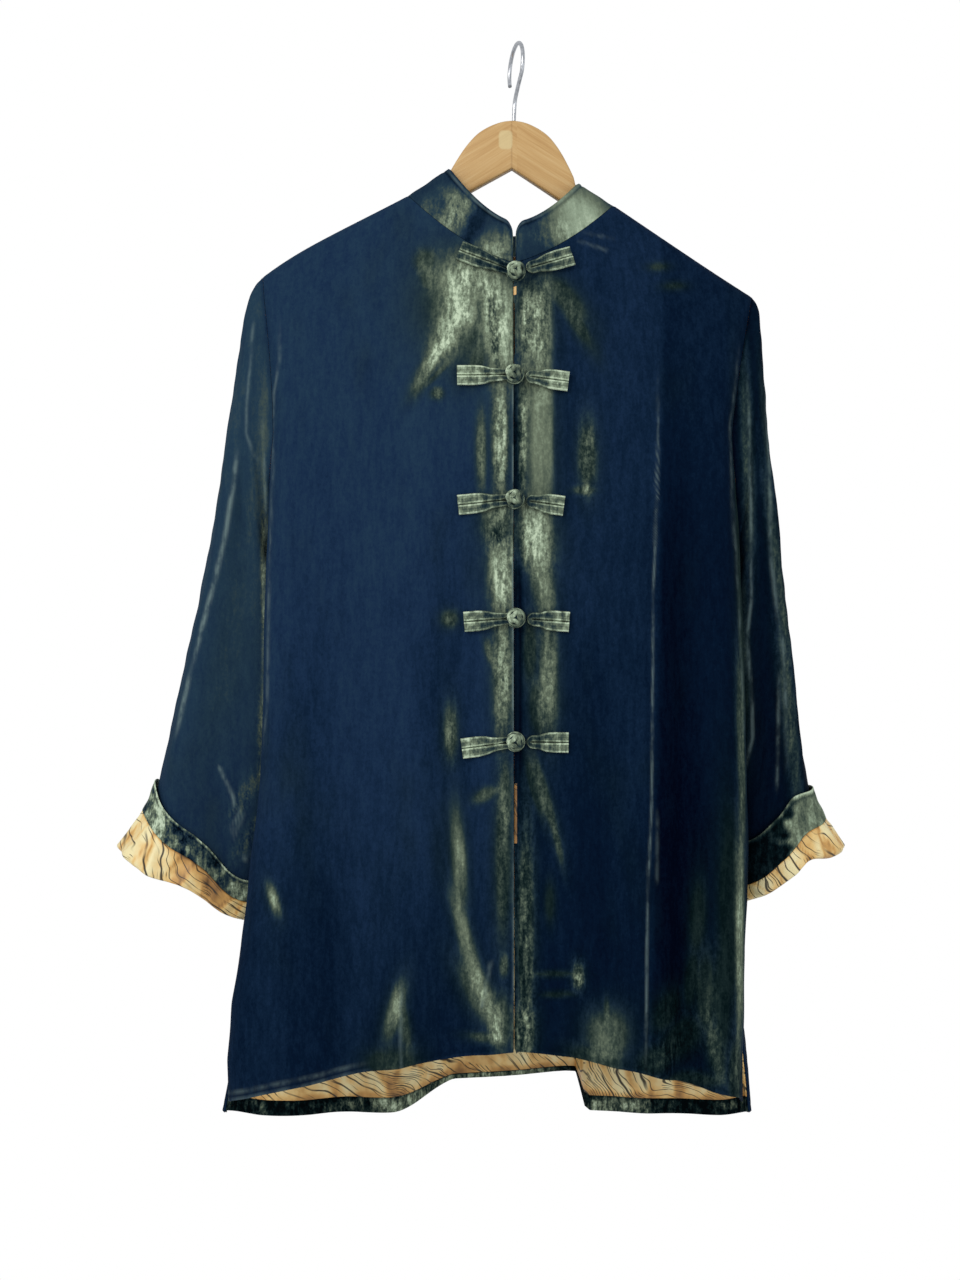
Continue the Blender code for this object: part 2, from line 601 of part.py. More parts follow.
def sleeve_place(grid, normal, height, stand):
    """Points a height above the sleeve's mouth, measured along it, and standing off its outer face."""
    steps = np.linalg.norm(np.diff(grid, axis=0), axis=-1)[::-1]
    places = []
    for column, (rise, off) in enumerate(zip(height, stand)):
        above = np.concatenate([[0.0], np.cumsum(steps[:, column])])
        line, out = grid[::-1, column], normal[::-1, column]
        point = np.array([np.interp(rise, above, line[:, i]) for i in range(3)])
        facing = np.array([np.interp(rise, above, out[:, i]) for i in range(3)])
        down = (line[0] - line[1]) / above[1]
        places.append(point + facing / np.linalg.norm(facing) * off + down * max(-rise, 0.0))
    return np.array(places)


def build_cuff(side, name, sleeve, normal):
    """The turned-back cuff: a velvet band at the free edge, and lining round the fold."""
    cuff = CUFFS[side]
    count = sleeve.shape[1]
    outward = 0.5 + 0.5 * np.cos(2 * np.pi * np.arange(count) / count)
    total = cuff.turn_in + (cuff.turn_out - cuff.turn_in) * outward**cuff.turn_power
    seam = cuff.lining_in + (cuff.lining_out - cuff.lining_in) * outward**cuff.lining_power
    flare = CUFF_FLARE_INNER + (cuff.flare - CUFF_FLARE_INNER) * outward

    def ring(height, stand):
        return sleeve_place(sleeve, normal, height, stand)

    def stand_off(height):
        return CUFF_STANDOFF + flare * (1.0 - height / total) ** 1.6

    heights = [total, 0.5 * (total + seam), seam + SEAM]
    outer = np.stack([ring(h, stand_off(h) + LINING) for h in heights])
    inner = np.stack([ring(h, stand_off(h)) for h in heights])
    wall(name + "_facing", outer, inner, "velvet", tube=True)

    outside = CUFF_STANDOFF + flare + LINING
    inside = CLOTH + CUFF_INNER_GAP + LINING
    centre, reach = 0.5 * (outside - inside), 0.5 * (outside + inside)
    faces = []
    for thick in (0.0, LINING):
        rings = [ring(h, stand_off(h) + LINING - thick) for h in (seam, 0.5 * seam)]
        for angle in np.radians([0.0, 40.0, 90.0, 140.0, 180.0]):
            across = (reach - thick) * np.cos(angle)
            rings.append(ring(-(CUFF_FOLD_DROP - thick) * np.sin(angle) * np.ones(count), centre + across))
        rings.append(ring(np.full(count, CUFF_INNER_RISE), -inside + thick * np.ones(count)))
        faces.append(np.stack(rings))
    wall(name + "_lining", faces[0], faces[1], "lining", tube=True)


# ---------------------------------------------------------------- collar
def neck_seam():
    """The neckline from the right front's end, round the back, to the left front's end, with its normals."""
    front_count = FRONT_COLUMNS.index(NECK_SHARE) + 1
    back_count = BACK_COLUMNS.index(NECK_SHARE) + 1
    middle = len(BACK_COLUMNS) - 1
    right = [values[0, :front_count] for values in front_grid(-1)]
    left = [values[0, :front_count][::-1] for values in front_grid(1)]
    back = [values[0, middle - back_count + 2 : middle + back_count - 1] for values in back_grid()]
    return tuple(np.concatenate(parts) for parts in zip(right, back, left))


def collar_rises(points):
    """The band's direction and height over each point of the neck seam."""
    rises = []
    for x, y, _ in points:
        side = "side_right" if x < CF_X else "side_left"
        half = NECK_SHARE * SHOULDER_HALF[-1 if x < CF_X else 1]
        out = min(abs(x - CF_X) / half, 1.0)
        middle = "front" if y < 0 else "back"
        out = out if y < 0 else out**COLLAR_BACK_ROUND
        rises.append((1 - out) * np.array(COLLAR_RISE[middle]) + out * np.array(COLLAR_RISE[side]))
    return np.array(rises)


def build_collar(rows=4):
    points, rim = neck_seam()
    along = np.concatenate([[0.0], np.cumsum(np.linalg.norm(np.diff(points, axis=0), axis=1))])
    rise = collar_rises(points)
    from_end = np.minimum(along, along[-1] - along)
    short = 1.0 - np.sqrt(1.0 - (1.0 - np.clip(from_end / COLLAR_END_RADIUS, 0.0, 1.0)) ** 2)
    height = 1.0 - short * COLLAR_END_RADIUS / np.linalg.norm(rise, axis=1)
    shares = np.linspace(0.0, 1.0, rows)[:, None, None]
    unit = rise / np.linalg.norm(rise, axis=1, keepdims=True)
    foot = points + unit * 1.5 * SEAM
    outer = foot + shares * rise * height[None, :, None]
    away = np.stack([outer[..., 0] - CF_X, outer[..., 1], np.full(outer.shape[:2], 0.03)], axis=-1)
    normal = grid_normals(outer, away)
    normal[0] = rim
    wall("collar", outer, moved(outer, normal, -BAND), "velvet")


# ---------------------------------------------------------------- frog fasteners
def on_front(x, z):
    """How far forward the front's outer face is over x, z near the centre line."""
    side = -1 if x < CF_X else 1
    s = np.abs(x - CF_X) / half_width(side, z) * FLAT_SHARE
    base = body_point("front", side, np.array([s]), np.array([z]))[0]
    lift = fold_height(FRONT_FOLDS[side], np.array([x]), np.array([z]), np.array([s]))[0]
    return base[1] - lift


def cord_section(width, thick):
    """Six points of a flattened cord's section, across and up."""
    turn = np.radians([0, 60, 120, 180, 240, 300])
    return np.stack([0.5 * width * np.cos(turn), 0.5 * thick * np.sin(turn)], axis=-1)


def sweep_cord(name, path, widths):
    """A flattened cord that lies on the fronts along a path of x, z points."""
    path = np.asarray(path)
    heading = np.gradient(path, axis=0)
    heading /= np.linalg.norm(heading, axis=1, keepdims=True)
    rings = []
    for (x, z), (dx, dz), width in zip(path, heading, widths):
        across = np.array([dz, 0.0, -dx])
        up = np.array([0.0, -1.0, 0.0])
        lowest = min(on_front(x, z), on_front(x + 0.004, z), on_front(x - 0.004, z))
        centre = np.array([x, lowest - SEAM - 0.5 * CORD_THICK, z])
        section = cord_section(width, CORD_THICK)
        rings.append([centre + a * across + u * up for a, u in section])
    sides = len(rings[0])
    points = np.concatenate([np.array(ring) for ring in rings])
    faces = []
    for ring in range(len(rings) - 1):
        for i in range(sides):
            j = (i + 1) % sides
            faces.append((ring * sides + i, ring * sides + j, (ring + 1) * sides + j, (ring + 1) * sides + i))
    last = (len(rings) - 1) * sides
    faces.append(tuple(reversed(range(sides))))
    faces.append(tuple(last + i for i in range(sides)))
    return add_object(name, points, faces, "velvet")


def arm_path(end, knot, clear, spread_sign, steps):
    """One strand of a frog's arm, from its outer end to just short of the knot."""
    end, knot = np.array(end), np.array(knot)
    reach = knot - end
    length = np.linalg.norm(reach)
    unit = reach / length
    side = np.array([-unit[1], unit[0]]) * spread_sign
    path, widths = [], []
    for share in np.linspace(0.0, 1.0, steps):
        at = share * (length - clear)
        narrow = smooth(np.array((share - 0.45) / 0.5))
        spread = ARM_SPREAD_END + (ARM_SPREAD_KNOT - ARM_SPREAD_END) * narrow
        path.append(end + unit * at + side * spread)
        widths.append(CORD_WIDTH + (2 * ARM_SPREAD_KNOT - 0.0006 - CORD_WIDTH) * narrow)
    return path, widths


def build_frogs():
    for number, frog in enumerate(FROGS, start=1):
        knot = (frog.knot_x, frog.knot_z)
        build_loop(f"frog_{number}_loop", (frog.right_x, frog.right_z), knot)
        build_stem(f"frog_{number}_stem", (frog.left_x, frog.left_z), knot)
        build_knot(f"frog_{number}_knot", knot)


def build_loop(name, end, knot):
    """The right arm: one strand in, round the knot, and the other strand out."""
    clear = LOOP_RADIUS + LOOP_CLEAR
    upper, upper_widths = arm_path(end, knot, clear, 1, 6)
    lower, lower_widths = arm_path(end, knot, clear, -1, 6)
    lean = math.atan2(knot[1] - end[1], knot[0] - end[0])
    ring = []
    for angle in np.linspace(LOOP_END, -LOOP_END, 11):
        ring.append(np.array(knot) + LOOP_RADIUS * np.array([math.cos(angle + lean), math.sin(angle + lean)]))
    path = upper + ring + lower[::-1]
    widths = upper_widths + [LOOP_WIDTH] * len(ring) + lower_widths[::-1]
    sweep_cord(name, path, widths)


def build_stem(name, end, knot):
    """The left arm: two strands that close in a tight bend beside the loop."""
    clear = LOOP_RADIUS + STEM_CLEAR
    upper, upper_widths = arm_path(end, knot, clear, 1, 6)
    lower, lower_widths = arm_path(end, knot, clear, -1, 6)
    reach = np.array(knot) - np.array(end)
    unit = reach / np.linalg.norm(reach)
    bend = np.array(end) + unit * (np.linalg.norm(reach) - clear + ARM_SPREAD_KNOT)
    narrow = upper_widths[-1]
    sweep_cord(name, upper + [bend] + lower[::-1], upper_widths + [narrow * 0.62] + lower_widths[::-1])


def build_knot(name, knot, around=11, rings=6):
    """The ball of the fastener, set into its loop."""
    x, z = knot
    centre_y = on_front(x, z) - SEAM - CORD_THICK - KNOT_LIFT
    points = [(x, centre_y - KNOT_RADIUS, z)]
    for ring in range(1, rings):
        polar = math.pi * ring / rings
        for i in range(around):
            turn = 2 * math.pi * i / around
            radius = KNOT_RADIUS * math.sin(polar)
            ring_y = centre_y - KNOT_RADIUS * math.cos(polar)
            points.append((x + radius * math.cos(turn), ring_y, z + radius * math.sin(turn)))
    points.append((x, centre_y + KNOT_RADIUS, z))
    last = len(points) - 1
    faces = []
    for i in range(around):
        j = (i + 1) % around
        faces.append((0, 1 + i, 1 + j))
        faces.append((last, last - around + j, last - around + i))
        for ring in range(rings - 2):
            a = 1 + ring * around
            faces.append((a + i, a + around + i, a + around + j, a + j))
    add_object(name, points, faces, "velvet")


# ---------------------------------------------------------------- hanger
def tilted(point):
    """A point of the hanger's own frame, turned with the hanger about the origin."""
    x, y, z = point
    return (x * math.cos(TILT) + z * math.sin(TILT), y, z * math.cos(TILT) - x * math.sin(TILT))


def wood_outline():
    """Half of the hanger's outline, from the dome's top, along the arm and back to the notch."""
    slope = 0.5 * (SHOULDER_SLOPE[-1] + SHOULDER_SLOPE[1])
    line_z = APEX_Z - WOOD_DROP
    end_x = ARM_HALF - 0.014
    upper = [(x, line_z - slope * x) for x in (0.1000, 0.1600, end_x)]
    tip_x, tip_z = end_x - 0.002, line_z - slope * end_x - ARM_DEPTH / 2
    turn = np.radians([45, 10, -30, -70])
    tip = [(tip_x + ARM_TIP_RADIUS * math.cos(a), tip_z + ARM_TIP_RADIUS * math.sin(a)) for a in turn]
    lower = [(0.1600, line_z - slope * 0.1600 - ARM_DEPTH)]
    lower += [(x, NOTCH_Z - slope * x) for x in (0.0800, 0.0)]
    return [(0.0, WOOD_TOP_Z), *WOOD_DOME, *upper, *tip, *lower]


def build_hanger():
    half = wood_outline()
    outline = half + [(-x, z) for x, z in reversed(half[1:-1])]
    centre = np.array(outline)
    loops = []
    for y, shrink in (*WOOD_EDGE, *((-y, shrink) for y, shrink in reversed(WOOD_EDGE))):
        loops.append([(*p, y) for p in inset_outline(centre, shrink)])
    points = [tilted((x, y, z)) for loop in loops for x, z, y in loop]
    count = len(outline)
    faces = []
    last = 2 * len(WOOD_EDGE) - 1
    for ring in range(last):
        for i in range(count):
            j = (i + 1) % count
            faces.append((ring * count + i, ring * count + j, (ring + 1) * count + j, (ring + 1) * count + i))
    cap = cap_faces(half, count)
    faces += cap
    faces += [tuple(last * count + i for i in reversed(face)) for face in cap]
    add_object("hanger_wood", points, faces, "wood")


def cap_faces(half, count):
    """Quads across the flat face: from each point of the upper edge to one of the lower edge."""
    tip = len(half) - 7
    upper = list(range(0, tip))
    lower = list(range(len(half) - 1, tip - 1, -1))
    faces = []
    for mirror in (False, True):
        def turn(index):
            return (count - index) % count if mirror else index
        up, low = 0, 0
        while up < len(upper) - 1 or low < len(lower) - 1:
            ahead_up = half[upper[up + 1]][0] if up < len(upper) - 1 else 9.0
            ahead_low = half[lower[low + 1]][0] if low < len(lower) - 1 else 9.0
            if ahead_up <= ahead_low:
                face = (turn(upper[up]), turn(lower[low]), turn(upper[up + 1]))
                up += 1
            else:
                face = (turn(upper[up]), turn(lower[low]), turn(lower[low + 1]))
                low += 1
            faces.append(tuple(reversed(face)) if mirror else face)
    return faces


def inset_outline(points, distance):
    """The outline moved in by a distance, each point along its corner's bisector."""
    if distance == 0.0:
        return points
    before, after = points - np.roll(points, 1, axis=0), np.roll(points, -1, axis=0) - points
    before /= np.linalg.norm(before, axis=1, keepdims=True)
    after /= np.linalg.norm(after, axis=1, keepdims=True)
    tangent = before + after
    tangent /= np.linalg.norm(tangent, axis=1, keepdims=True)
    return points + distance * np.stack([tangent[:, 1], -tangent[:, 0]], axis=-1)


def build_hook():
    """The wire hook: a straight shank, then most of a circle over the origin."""
    centre_z = HOOK_WIRE / 2 - HOOK_RADIUS
    foot = WOOD_TOP_Z + SEAM + 0.0006
    path = [(0.0, foot), (0.0, foot + 0.012)]
    path += [(0.0015, -0.0500), (0.0075, -0.0420), (0.0150, -0.0345)]
    for angle in np.linspace(math.radians(-25), math.radians(212), 16):
        path.append((HOOK_RADIUS * math.cos(angle), centre_z + HOOK_RADIUS * math.sin(angle)))
    curve = bpy.data.curves.new("hanger_hook", "CURVE")
    curve.dimensions = "3D"
    curve.bevel_depth = HOOK_WIRE / 2
    curve.bevel_resolution = 2
    curve.use_fill_caps = True
    spline = curve.splines.new("POLY")
    spline.points.add(len(path) - 1)
    for point, (u, z) in zip(spline.points, path):
        place = (u * math.cos(HOOK_TURN), -u * math.sin(HOOK_TURN), z)
        point.co = (*tilted(place), 1.0)
    curve.materials.append(material("wire"))
    obj = bpy.data.objects.new("hanger_hook", curve)
    bpy.context.scene.collection.objects.link(obj)


def main():
    clear_scene()
    build_fronts()
    build_back()
    build_sleeves()
    build_collar()
    build_frogs()
    build_hanger()
    build_hook()


main()
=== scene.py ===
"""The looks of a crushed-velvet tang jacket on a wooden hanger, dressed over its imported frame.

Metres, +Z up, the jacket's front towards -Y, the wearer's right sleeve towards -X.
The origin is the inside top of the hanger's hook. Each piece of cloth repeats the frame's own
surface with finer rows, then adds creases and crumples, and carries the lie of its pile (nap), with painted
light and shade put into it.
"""

import math
from collections import namedtuple

import bmesh
import bpy
import numpy as np
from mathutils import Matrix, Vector, noise

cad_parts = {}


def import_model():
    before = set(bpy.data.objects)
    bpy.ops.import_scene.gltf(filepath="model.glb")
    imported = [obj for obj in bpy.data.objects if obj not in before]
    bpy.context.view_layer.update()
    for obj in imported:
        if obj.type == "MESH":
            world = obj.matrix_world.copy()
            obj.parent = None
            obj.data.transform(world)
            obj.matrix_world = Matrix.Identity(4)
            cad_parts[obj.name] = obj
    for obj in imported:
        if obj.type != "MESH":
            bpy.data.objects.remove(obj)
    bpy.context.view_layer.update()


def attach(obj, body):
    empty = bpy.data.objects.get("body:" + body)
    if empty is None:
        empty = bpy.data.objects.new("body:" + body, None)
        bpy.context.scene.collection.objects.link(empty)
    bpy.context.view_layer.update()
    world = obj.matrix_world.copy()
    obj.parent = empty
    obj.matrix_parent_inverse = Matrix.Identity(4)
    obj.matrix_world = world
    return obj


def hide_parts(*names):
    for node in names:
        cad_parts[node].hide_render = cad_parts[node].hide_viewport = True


# ---------------------------------------------------------------- sizes shared with the frame
SEAM, CLOTH, LINING, BAND = 0.0003, 0.0018, 0.0010, 0.0024
CF_X = -0.0032
APEX_X, APEX_Z = -0.0035, -0.0860
SHOULDER_SLOPE = {-1: 0.5509, 1: 0.6631}
SHOULDER_HALF = {-1: 0.2315, 1: 0.2190}
SHOULDER_BOW = {-1: 0.0040, 1: -0.0008}
RIDGE, SWELL = 0.010, 0.110

NECK_SHARE = 0.425
NECK_FRONT_Z, NECK_BACK_Z = -0.2090, -0.1870
NECK_FRONT_BEND, NECK_BACK_BEND = 0.55, 1.7
FRONT_GAP = 0.0016

ARMPIT_SHARE = 0.304
ARMHOLE_CUT, ARMHOLE_TURN = 0.80, 0.40
VENT_TOP_Z, VENT_HEIGHT = -0.858, 0.110
VENT_OPEN = {"front": 0.014, "back": 0.026}
FRONT_HEM_Z, FRONT_HEM_DROP, FRONT_HEM_BEND = -0.9050, 0.0620, 1.4
BACK_HEM_Z, BACK_HEM_SAG, BACK_HEM_SIDE = -0.9960, 0.0040, 0.0090
BACK_HEM_SAG_AT, BACK_HEM_SAG_WIDTH, BACK_HEM_SIDE_AT = 0.72, 0.18, 0.80
FACING_HEIGHT = {"front": 0.016, "back": 0.0145, "box_fold": 0.005}

Level = namedtuple("Level", "z right left front back inset_right inset_left")
LEVELS = (
    Level(-0.200, 0.2315, 0.2190, 0.056, 0.042, 0.000, 0.000),
    Level(-0.235, 0.2300, 0.2190, 0.056, 0.042, 0.000, 0.000),
    Level(-0.300, 0.2240, 0.2080, 0.057, 0.044, 0.008, 0.008),
    Level(-0.360, 0.2205, 0.2000, 0.059, 0.045, 0.012, 0.012),
    Level(-0.420, 0.2215, 0.2008, 0.060, 0.046, 0.013, 0.013),
    Level(-0.510, 0.2245, 0.2042, 0.063, 0.048, 0.014, 0.014),
    Level(-0.600, 0.2255, 0.2082, 0.066, 0.050, 0.014, 0.014),
    Level(-0.672, 0.2285, 0.2086, 0.069, 0.052, 0.015, 0.015),
    Level(-0.735, 0.2355, 0.2096, 0.071, 0.053, 0.015, 0.014),
    Level(-0.780, 0.2395, 0.2080, 0.073, 0.055, 0.014, 0.011),
    Level(-0.820, 0.2440, 0.2052, 0.074, 0.056, 0.010, 0.005),
    Level(-0.869, 0.2515, 0.2040, 0.075, 0.057, 0.004, -0.003),
    Level(-0.920, 0.2552, 0.2025, 0.076, 0.058, -0.002, -0.008),
    Level(-0.990, 0.2540, 0.2005, 0.077, 0.058, -0.0095, -0.0120),
)
CORNER, CORNER_SHARE = 0.026, 0.62
CROWN, CROWN_DEPTH = 0.007, 0.060
FLAT_SHARE = 0.86

Fold = namedtuple("Fold", "x_top z_top x_foot z_foot width height")
FRONT_FOLDS = {
    -1: (
        Fold(-0.060, -0.240, -0.090, -0.480, 0.026, 0.0040),
        Fold(-0.105, -0.860, -0.108, -0.960, 0.016, 0.0070),
        Fold(-0.060, -0.780, -0.016, -0.930, 0.016, 0.0060),
        Fold(-0.165, -0.420, -0.185, -0.960, 0.030, 0.0050),
        Fold(-0.135, -0.500, -0.145, -0.960, 0.022, -0.0045),
    ),
    1: (
        Fold(0.126, -0.330, 0.122, -0.980, 0.015, 0.0080),
        Fold(0.149, -0.330, 0.146, -0.980, 0.015, -0.0085),
        Fold(0.176, -0.620, 0.178, -0.980, 0.016, 0.0050),
        Fold(0.070, -0.760, 0.088, -0.960, 0.016, 0.0060),
        Fold(0.045, -0.820, 0.052, -0.960, 0.014, -0.0050),
    ),
}
BACK_FOLDS = (
    Fold(-0.150, -0.300, -0.170, -0.998, 0.026, 0.0060),
    Fold(-0.115, -0.380, -0.128, -0.998, 0.022, -0.0060),
    Fold(-0.050, -0.260, -0.055, -0.720, 0.026, 0.0040),
    Fold(0.055, -0.300, 0.045, -0.720, 0.026, 0.0045),
    Fold(0.150, -0.340, 0.165, -0.998, 0.024, 0.0065),
    Fold(0.120, -0.420, 0.118, -0.998, 0.020, -0.0050),
)
FOLD_START, FOLD_PAST_FOOT, FOLD_FREE = 0.35, 1.2, 0.12
BOX_FOLD_LEFT, BOX_FOLD_RIGHT = -0.118, 0.071
BOX_FOLD_SLOPE, BOX_FOLD_STEP = 0.060, 0.009
BOX_FOLD_DEPTH, BOX_FOLD_RISE, BOX_FOLD_TILT = 0.036, 0.028, 0.28
BOX_FOLD_TOP_Z, BOX_FOLD_HEIGHT = -0.560, 0.420
BOX_FOLD_TILT_FROM, BOX_FOLD_TILT_WIDTH = -0.070, 0.120

Station = namedtuple("Station", "out_x out_z in_x in_z middle_y depth")
SLEEVES = {
    -1: (
        Station(-0.2450, -0.232, -0.2160, -0.4545, 0.000, 0.027),
        Station(-0.2525, -0.264, -0.2195, -0.4590, 0.003, 0.031),
        Station(-0.2620, -0.320, -0.2220, -0.4670, 0.007, 0.035),
        Station(-0.2700, -0.373, -0.2230, -0.4800, 0.012, 0.038),
        Station(-0.2780, -0.426, -0.2222, -0.5020, 0.017, 0.042),
        Station(-0.2890, -0.482, -0.2205, -0.5410, 0.022, 0.044),
        Station(-0.3040, -0.548, -0.2200, -0.5970, 0.025, 0.044),
        Station(-0.3195, -0.612, -0.2225, -0.6610, 0.027, 0.042),
        Station(-0.3335, -0.678, -0.2300, -0.7290, 0.029, 0.038),
        Station(-0.3505, -0.742, -0.2370, -0.8000, 0.031, 0.034),
    ),
    1: (
        Station(0.2222, -0.247, 0.1915, -0.4665, 0.000, 0.027),
        Station(0.2245, -0.276, 0.1940, -0.4700, 0.003, 0.031),
        Station(0.2275, -0.328, 0.1960, -0.4770, 0.007, 0.035),
        Station(0.2330, -0.375, 0.1970, -0.4890, 0.012, 0.038),
        Station(0.2400, -0.425, 0.1970, -0.5090, 0.017, 0.042),
        Station(0.2465, -0.477, 0.1965, -0.5420, 0.022, 0.044),
        Station(0.2530, -0.544, 0.1965, -0.5960, 0.025, 0.044),
        Station(0.2620, -0.612, 0.1968, -0.6550, 0.027, 0.042),
        Station(0.2695, -0.672, 0.1970, -0.7120, 0.028, 0.038),
        Station(0.2890, -0.743, 0.2000, -0.7840, 0.029, 0.034),
    ),
}
SECTION_POWER, ARMHOLE_LEAN = 0.85, 0.45
DROOP = {-1: (0.0070, 0.0090), 1: (-0.0080, 0.0040)}
DROOP_AT, DROOP_WIDTH, DROOP_START = (0.75, 0.28), 0.18, 8.5
Crease = namedtuple("Crease", "angle_top angle_cuff width height start")
CREASES = {
    -1: (
        Crease(0.16, 0.14, 0.050, 0.0050, 0.15),
        Crease(0.26, 0.26, 0.060, -0.0060, 0.20),
        Crease(0.40, 0.38, 0.050, 0.0050, 0.30),
        Crease(0.66, 0.62, 0.060, 0.0050, 0.20),
        Crease(0.78, 0.76, 0.060, -0.0050, 0.20),
    ),
    1: (
        Crease(0.20, 0.12, 0.045, 0.0050, 0.24),
        Crease(0.30, 0.20, 0.055, -0.0060, 0.32),
        Crease(0.40, 0.32, 0.055, 0.0060, 0.38),
        Crease(0.64, 0.64, 0.060, 0.0050, 0.26),
        Crease(0.76, 0.78, 0.060, -0.0050, 0.28),
    ),
}
Cuff = namedtuple("Cuff", "turn_out turn_in turn_power lining_out lining_in lining_power flare")
CUFFS = {
    -1: Cuff(0.067, 0.028, 1.6, 0.038, 0.008, 1.2, 0.0180),
    1: Cuff(0.060, 0.046, 1.0, 0.029, 0.008, 1.4, 0.0125),
}
CUFF_STANDOFF, CUFF_FLARE_INNER = 0.0030, 0.0040
CUFF_INNER_GAP, CUFF_INNER_RISE = 0.0010, 0.0160
CUFF_FOLD_DROP = 0.0045

COLLAR_RISE = {
    "front": (0.000, 0.004, 0.0365),
    "side_right": (0.0372, 0.0, 0.0250),
    "side_left": (-0.0319, 0.0, 0.0203),
    "back": (0.000, 0.025, 0.0230),
}
COLLAR_END_RADIUS, COLLAR_BACK_ROUND = 0.013, 1.6

# the knot, the arms' outer ends, and how light the loop and the stem lie
Frog = namedtuple("Frog", "knot_x knot_z right_x right_z left_x left_z loop_light stem_light")
FROGS = (
    Frog(-0.0022, -0.2185, -0.0525, -0.1975, 0.0488, -0.2022, 0.28, 0.34),
    Frog(-0.0036, -0.3113, -0.0543, -0.3122, 0.0444, -0.3174, 0.52, 0.54),
    Frog(-0.0036, -0.4223, -0.0534, -0.4276, 0.0400, -0.4284, 0.42, 0.44),
    Frog(-0.0026, -0.5271, -0.0481, -0.5306, 0.0444, -0.5306, 0.42, 0.44),
    Frog(-0.0032, -0.6355, -0.0499, -0.6416, 0.0435, -0.6363, 0.50, 0.44),
)
KNOT_RADIUS, KNOT_LIFT = 0.0085, 0.0065
CORD_WIDTH, CORD_THICK = 0.0086, 0.0034
LOOP_RADIUS, LOOP_WIDTH = 0.0070, 0.0036
LOOP_CLEAR, STEM_CLEAR = 0.0060, 0.0075
LOOP_END, CRUMPLE_ROOM = math.radians(152), 0.0012
ARM_SPREAD_END, ARM_SPREAD_KNOT, ARM_GAP = 0.0046, 0.0029, 0.0006
ARM_POINTS, LOOP_POINTS = 6, 15
BALL_RADIUS, KNOT_CORD, KNOT_UNEVEN = KNOT_RADIUS - 0.0022, 0.0021, 0.0005
BALL_RINGS, BALL_SIDES, WINDING_STEPS, WINDING_SIDES = 15, 24, 150, 10
WINDING_MIDDLE, WINDING_SWING, CORD_FLATNESS = math.radians(58), math.radians(32), 0.8
# how light the knot lies: its ball, its cord, and how much lighter the cord is towards the wearer's right and
# upwards, a painted highlight on the side the key light comes from
BALL_NAP, CORD_NAP, CORD_HIGHLIGHT_RIGHT, CORD_HIGHLIGHT_UP = 0.20, 0.68, 26.0, 16.0
STEM_BEND = 0.62

TILT = math.radians(2.35)
WOOD_TOP_Z, WOOD_HALF_DEPTH, WOOD_ROUND = -0.0700, 0.0060, 0.0026
WOOD_DOME = (
    (0.009, -0.0710), (0.017, -0.0737), (0.025, -0.0777), (0.033, -0.0835), (0.041, -0.0926),
    (0.0484, -0.1038), (0.0568, -0.1192), (0.0608, -0.1292), (0.078, -0.1400),
)
WOOD_DROP, NOTCH_Z, ARM_HALF = 0.0036, -0.1140, 0.2200
ARM_DEPTH, ARM_TIP_RADIUS = 0.0240, 0.0110
DOME_START = (-0.009, -0.0710)
ARM_XS, ARM_XS_BELOW = (0.1000, 0.1300, 0.1600, 0.1850), (0.1900, 0.1600)
NOTCH_XS = (0.0800, 0.0600, 0.0400, 0.0200, 0.0)
ARM_TIP_INSET, ARM_TIP_BACK = 0.014, 0.002
HOOK_LINE = ((0.0015, -0.0500), (0.0075, -0.0420), (0.0150, -0.0345))
HOOK_FOOT_GAP, HOOK_FOOT = 0.0006, 0.012
HOOK_WIRE, HOOK_RADIUS, HOOK_TURN = 0.0036, 0.0220, math.radians(75)
HOOK_FROM, HOOK_TO, HOOK_POINTS, HOOK_SIDES = -25, 212, 40, 18

# ---------------------------------------------------------------- fine rows and columns
FRONT_COLUMNS = (0, 0.003, 0.007, 0.012, 0.07, 0.14, 0.21, 0.28, 0.35, 0.405, NECK_SHARE,
                 0.475, 0.525, 0.575, 0.63, 0.69, 0.76, 0.83, 0.91, 1)
BACK_COLUMNS = (0, 0.07, 0.14, 0.20, 0.245, 0.28, 0.345, 0.405, NECK_SHARE,
                0.50, 0.58, 0.66, 0.74, 0.82, 0.91, 1)
ARMHOLE_ROWS = (0, 0.004, 0.015, 0.034, 0.065, 0.11, 0.18, 0.27, 0.37, 0.48, 0.60, 0.73, 0.86, 1)
SLEEVE_PLACES = (0, 0.5, 1, 1.6, 2.3, 3, 3.8, 4.6, 5.4, 6.2, 7, 7.8, 8.6, 9.3, 10)
SLEEVE_EVEN_FROM, SLEEVE_EVEN_AT = 1, 5
SKIRT_ROWS, FACING_ROWS = 176, 5


def spread(values, step, close=(0.0, 0.0)):
    """The values with more between them, at most a step apart, and half a step in the close range."""
    parts = []
    for a, b in zip(values, values[1:]):
        near = 0.5 * step if close[0] <= a < close[1] else step
        parts.append(np.linspace(a, b, max(2, math.ceil((b - a) / near) + 1))[:-1])
    return np.append(np.concatenate(parts), values[-1])


LONG_FOLD_SHARES = (0.42, 0.57)
FRONT_FINE = spread(FRONT_COLUMNS, 0.0095, close=LONG_FOLD_SHARES)
BACK_FINE = spread(BACK_COLUMNS, 0.0135)
ARMHOLE_FINE = spread(ARMHOLE_ROWS, 0.0125)
SLEEVE_FINE = spread(SLEEVE_PLACES, 0.065)


# ---------------------------------------------------------------- short sums
def smooth(share):
    """Rises from 0 to 1 with level ends."""
    share = np.clip(share, 0.0, 1.0)
    return share * share * (3.0 - 2.0 * share)


def bump(value, centre, width):
    """A soft bump of height 1."""
    return np.exp(-(((value - centre) / width) ** 2))


def between(start, end, share):
    return start + (end - start) * share


def unit(vectors):
    """The vectors at length 1."""
    return vectors / np.maximum(np.linalg.norm(vectors, axis=-1, keepdims=True), 1e-12)


